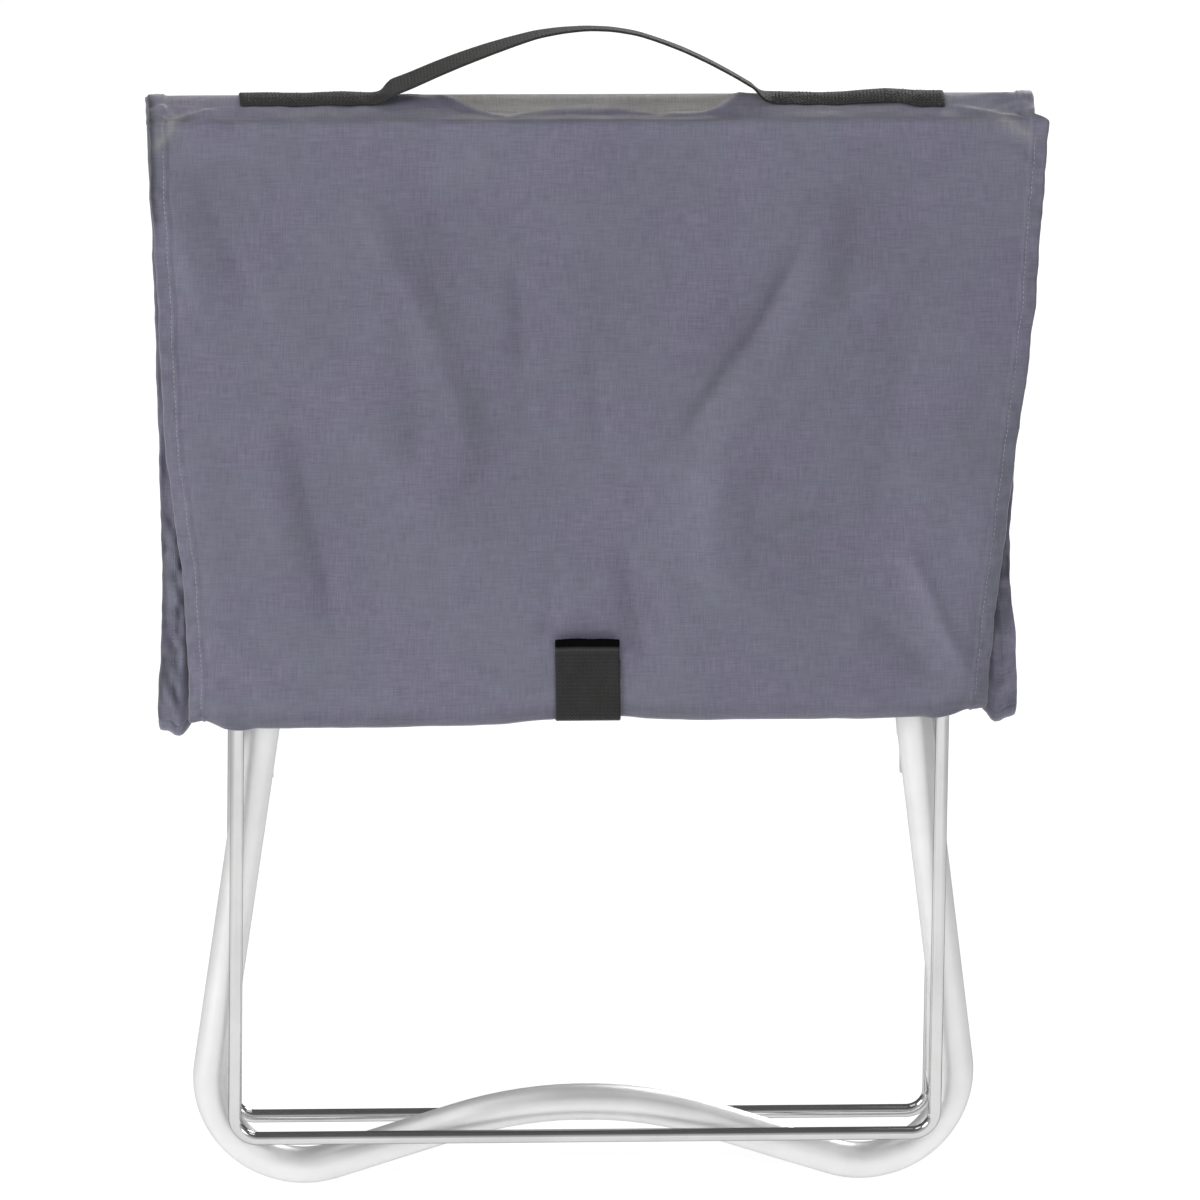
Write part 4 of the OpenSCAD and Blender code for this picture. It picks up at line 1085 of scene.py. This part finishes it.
uvt = np.stack([np.broadcast_to(st[:, None], PT.shape[:2]), np.broadcast_to(wt[None] + 20, PT.shape[:2])], -1) * MM
# painted shade on the tab's top end, with a painted highlight line along the bend below it
tonet = np.ones(PT.shape[:2]) - 0.92 * smooth((7.2 - st) / 1.2)[:, None] + 0.5 * np.exp(-((st - 8.9) / 0.8) ** 2)[:, None]
tab = shell("closing_tab", PT, 1.2, M_WEB, uvt, tone=tonet)
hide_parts("closure_tab")
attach(tab, "rear_prop")

# the hook-and-loop patch sewn to the flap behind the tab
ph_z = np.linspace(308, 338, 22)
ph_x = np.linspace(-17, 17, 25)
PP = np.zeros((len(ph_z), len(ph_x), 3))
PP[..., 0] = ph_x[None]
PP[..., 1] = -27.12
PP[..., 2] = ph_z[:, None]
uvp = np.stack([np.broadcast_to(ph_z[:, None], PP.shape[:2]), np.broadcast_to(ph_x[None] + 20, PP.shape[:2])], -1) * MM
patch = shell("hook_patch", PP, 0.5, M_WEB, uvp)
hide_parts("closure_hook_patch")
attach(patch, "rear_prop")

# the strap's other end, sewn to the seat's underside
zs_path = np.concatenate([[294.9], np.linspace(297, 342.4, 26)])
PS = np.zeros((len(zs_path), len(wt), 3))
PS[..., 0] = wt[None] * (1 + 0.01 * noise2(zs_path / 15, 0.7, 201))[:, None]
surf = np.zeros(PS.shape[:2])
for i, z in enumerate(zs_path):
    row = int(np.clip(np.interp(z, P_seat[:n_up2, 100, 2], np.arange(n_up2)), 0, n_up2 - 1))
    surf[i] = np.interp(wt, P_seat[row, :, 0], P_seat[row, :, 1])
PS[..., 1] = np.maximum(surf + 0.4 + 0.65, 14.0)
PS[..., 2] = zs_path[:, None]
ss = cumlen(PS[:, 12])
uvs2 = np.stack([np.broadcast_to(ss[:, None] + 70, PS.shape[:2]), np.broadcast_to(wt[None] + 20, PS.shape[:2])], -1) * MM
strap = shell("closing_strap", PS, 1.2, M_WEB, uvs2)
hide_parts("closure_strap")
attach(strap, "seat_frame")
runs = []
for a, b in (((-17, 316), (17, 316)), ((17, 316), (17, 339)), ((17, 339), (-17, 339)), ((-17, 339), (-17, 316)), ((-17, 316), (17, 339)), ((-17, 339), (17, 316))):
    t = np.linspace(0, 1, 24)
    x, z = a[0] + (b[0] - a[0]) * t, a[1] + (b[1] - a[1]) * t
    y = np.array([np.interp(xx, PS[min(int(np.interp(zv, zs_path, np.arange(len(zs_path)))), len(zs_path) - 1), :, 0],
                            PS[min(int(np.interp(zv, zs_path, np.arange(len(zs_path)))), len(zs_path) - 1), :, 1]) for xx, zv in zip(x, z)])
    runs.append(stitch_run(np.stack([x, y + 0.6, z], 1), np.tile([0, 1.0, 0], (24, 1)), 2.8, 2.1, 0.34))
stitches("closing_strap_stitches", runs, M_THREAD3, "seat_frame")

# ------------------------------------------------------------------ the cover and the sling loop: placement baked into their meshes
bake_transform(cover)
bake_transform(loop)


# ------------------------------------------------------------------ floor, light and camera
fm = Nodes("glowing_floor_paper")
n = fm.t.nodes.new("ShaderNodeTexCoord")
fm.link(fm.mix(fm.span(fm.noise(n.outputs["Object"], 3.0, 3.0), 0.3, 0.7, 0, 1), (0.40, 0.40, 0.40), (0.42, 0.42, 0.42)), fm.bsdf.inputs["Base Color"])
# painted light: the floor glows, brightest along a strip a metre wide and dimmer, greyer away to the sides, over a pale
# grey paper colour
fx = fm.t.nodes.new("ShaderNodeSeparateXYZ")
fm.link(n.outputs["Object"], fx.inputs[0])
off = fm.math("ABSOLUTE", fm.math("SUBTRACT", fx.outputs[0], fm.math("MULTIPLY", fx.outputs[1], 0.066)))
glow = fm.span(off, 0.50, 1.25, 0.72, 0.24)
glow.node.interpolation_type = "SMOOTHSTEP"

fm.link(glow, fm.bsdf.inputs["Emission Strength"])
fm.set(Roughness=0.9, Specular_IOR_Level=0.1, Emission_Color=(1, 1, 1, 1))
me = bpy.data.meshes.new("floor")
me.from_pydata([(-30, -30, 0), (30, -30, 0), (30, 30, 0), (-30, 30, 0)], [], [(0, 1, 2, 3)])
me.materials.append(fm.mat)
floor = bpy.data.objects.new("floor", me)
bpy.context.scene.collection.objects.link(floor)
floor.location = (0, 0, -0.0002)

world = bpy.data.worlds.new("studio")
bpy.context.scene.world = world
world.use_nodes = True
wt_ = world.node_tree
bg = wt_.nodes["Background"]
tc = wt_.nodes.new("ShaderNodeTexCoord")
sep = wt_.nodes.new("ShaderNodeSeparateXYZ")
wt_.links.new(tc.outputs["Generated"], sep.inputs[0])


def wmath(op, a, b=None, clamp=False):
    k = wt_.nodes.new("ShaderNodeMath")
    k.operation, k.use_clamp = op, clamp
    for i, v in enumerate((a, b)):
        if v is None:
            continue
        if isinstance(v, bpy.types.NodeSocket):
            wt_.links.new(v, k.inputs[i])
        else:
            k.inputs[i].default_value = v
    return k.outputs[0]


def wspan(value, a0, a1, b0, b1):
    k = wt_.nodes.new("ShaderNodeMapRange")
    k.interpolation_type = "SMOOTHSTEP"
    wt_.links.new(value, k.inputs["Value"])
    for key, v in (("From Min", a0), ("From Max", a1), ("To Min", b0), ("To Max", b1)):
        k.inputs[key].default_value = v
    return k.outputs[0]


# a dim studio: lighter low in front, dark overhead and behind, so that the metal has something to show
front = wspan(sep.outputs[1], 0.1, -0.7, 0.0, 1.0)
low = wspan(sep.outputs[2], 0.75, 0.2, 0.0, 1.0)
level = wmath("ADD", wmath("MULTIPLY", wmath("MULTIPLY", front, low), 0.52), 0.13)
col = wt_.nodes.new("ShaderNodeCombineColor")
for i in range(3):
    wt_.links.new(level, col.inputs[i])
wt_.links.new(col.outputs[0], bg.inputs["Color"])
bg.inputs["Strength"].default_value = 1.0


def area_light(name, loc, look, size, power, colour=(1, 1, 1), spread=None):
    d = bpy.data.lights.new(name, "AREA")
    d.shape, d.size, d.size_y = "RECTANGLE", size[0], size[1]
    d.energy, d.color = power, colour
    if spread:
        d.spread = spread
    o = bpy.data.objects.new(name, d)
    o.location = loc
    o.rotation_mode = "QUATERNION"
    o.rotation_quaternion = (Vector(look) - Vector(loc)).to_track_quat("-Z", "Y")
    bpy.context.scene.collection.objects.link(o)
    return o


area_light("key", (-2.8, -1.8, 2.0), (0, 0, 0.4), (1.3, 1.3), 86, (1.0, 0.995, 0.985))
area_light("fill", (2.6, -3.0, 1.3), (0, 0, 0.4), (1.4, 1.4), 18)
area_light("top_left", (-0.95, -0.1, 2.6), (0, 0, 0.5), (1.2, 1.2), 8.6)
area_light("top_right", (1.25, -0.1, 2.6), (0, 0, 0.5), (1.2, 1.2), 8.6)
area_light("rear", (1.4, 2.6, 2.0), (0, 0, 0.35), (1.2, 1.2), 60)

cam_data = bpy.data.cameras.new("camera")
cam = bpy.data.objects.new("camera", cam_data)
bpy.context.scene.collection.objects.link(cam)
bpy.context.scene.camera = cam
cam_data.sensor_width = 36
cam_data.lens = 450
cam_data.clip_start, cam_data.clip_end = 0.5, 60
el, az = math.radians(17.1), math.radians(3.8)
way = Vector((math.cos(el) * math.sin(az), math.cos(el) * math.cos(az), -math.sin(el)))
target = Vector((0.0062, 0.0, 0.3672))
cam.location = target - way * 9.0
cam.rotation_mode = "QUATERNION"
cam.rotation_quaternion = way.to_track_quat("-Z", "Y") @ Quaternion((0, 0, 1), math.radians(0.75))

bpy.context.scene.view_settings.view_transform = "Standard"
bpy.context.scene.view_settings.look = "None"
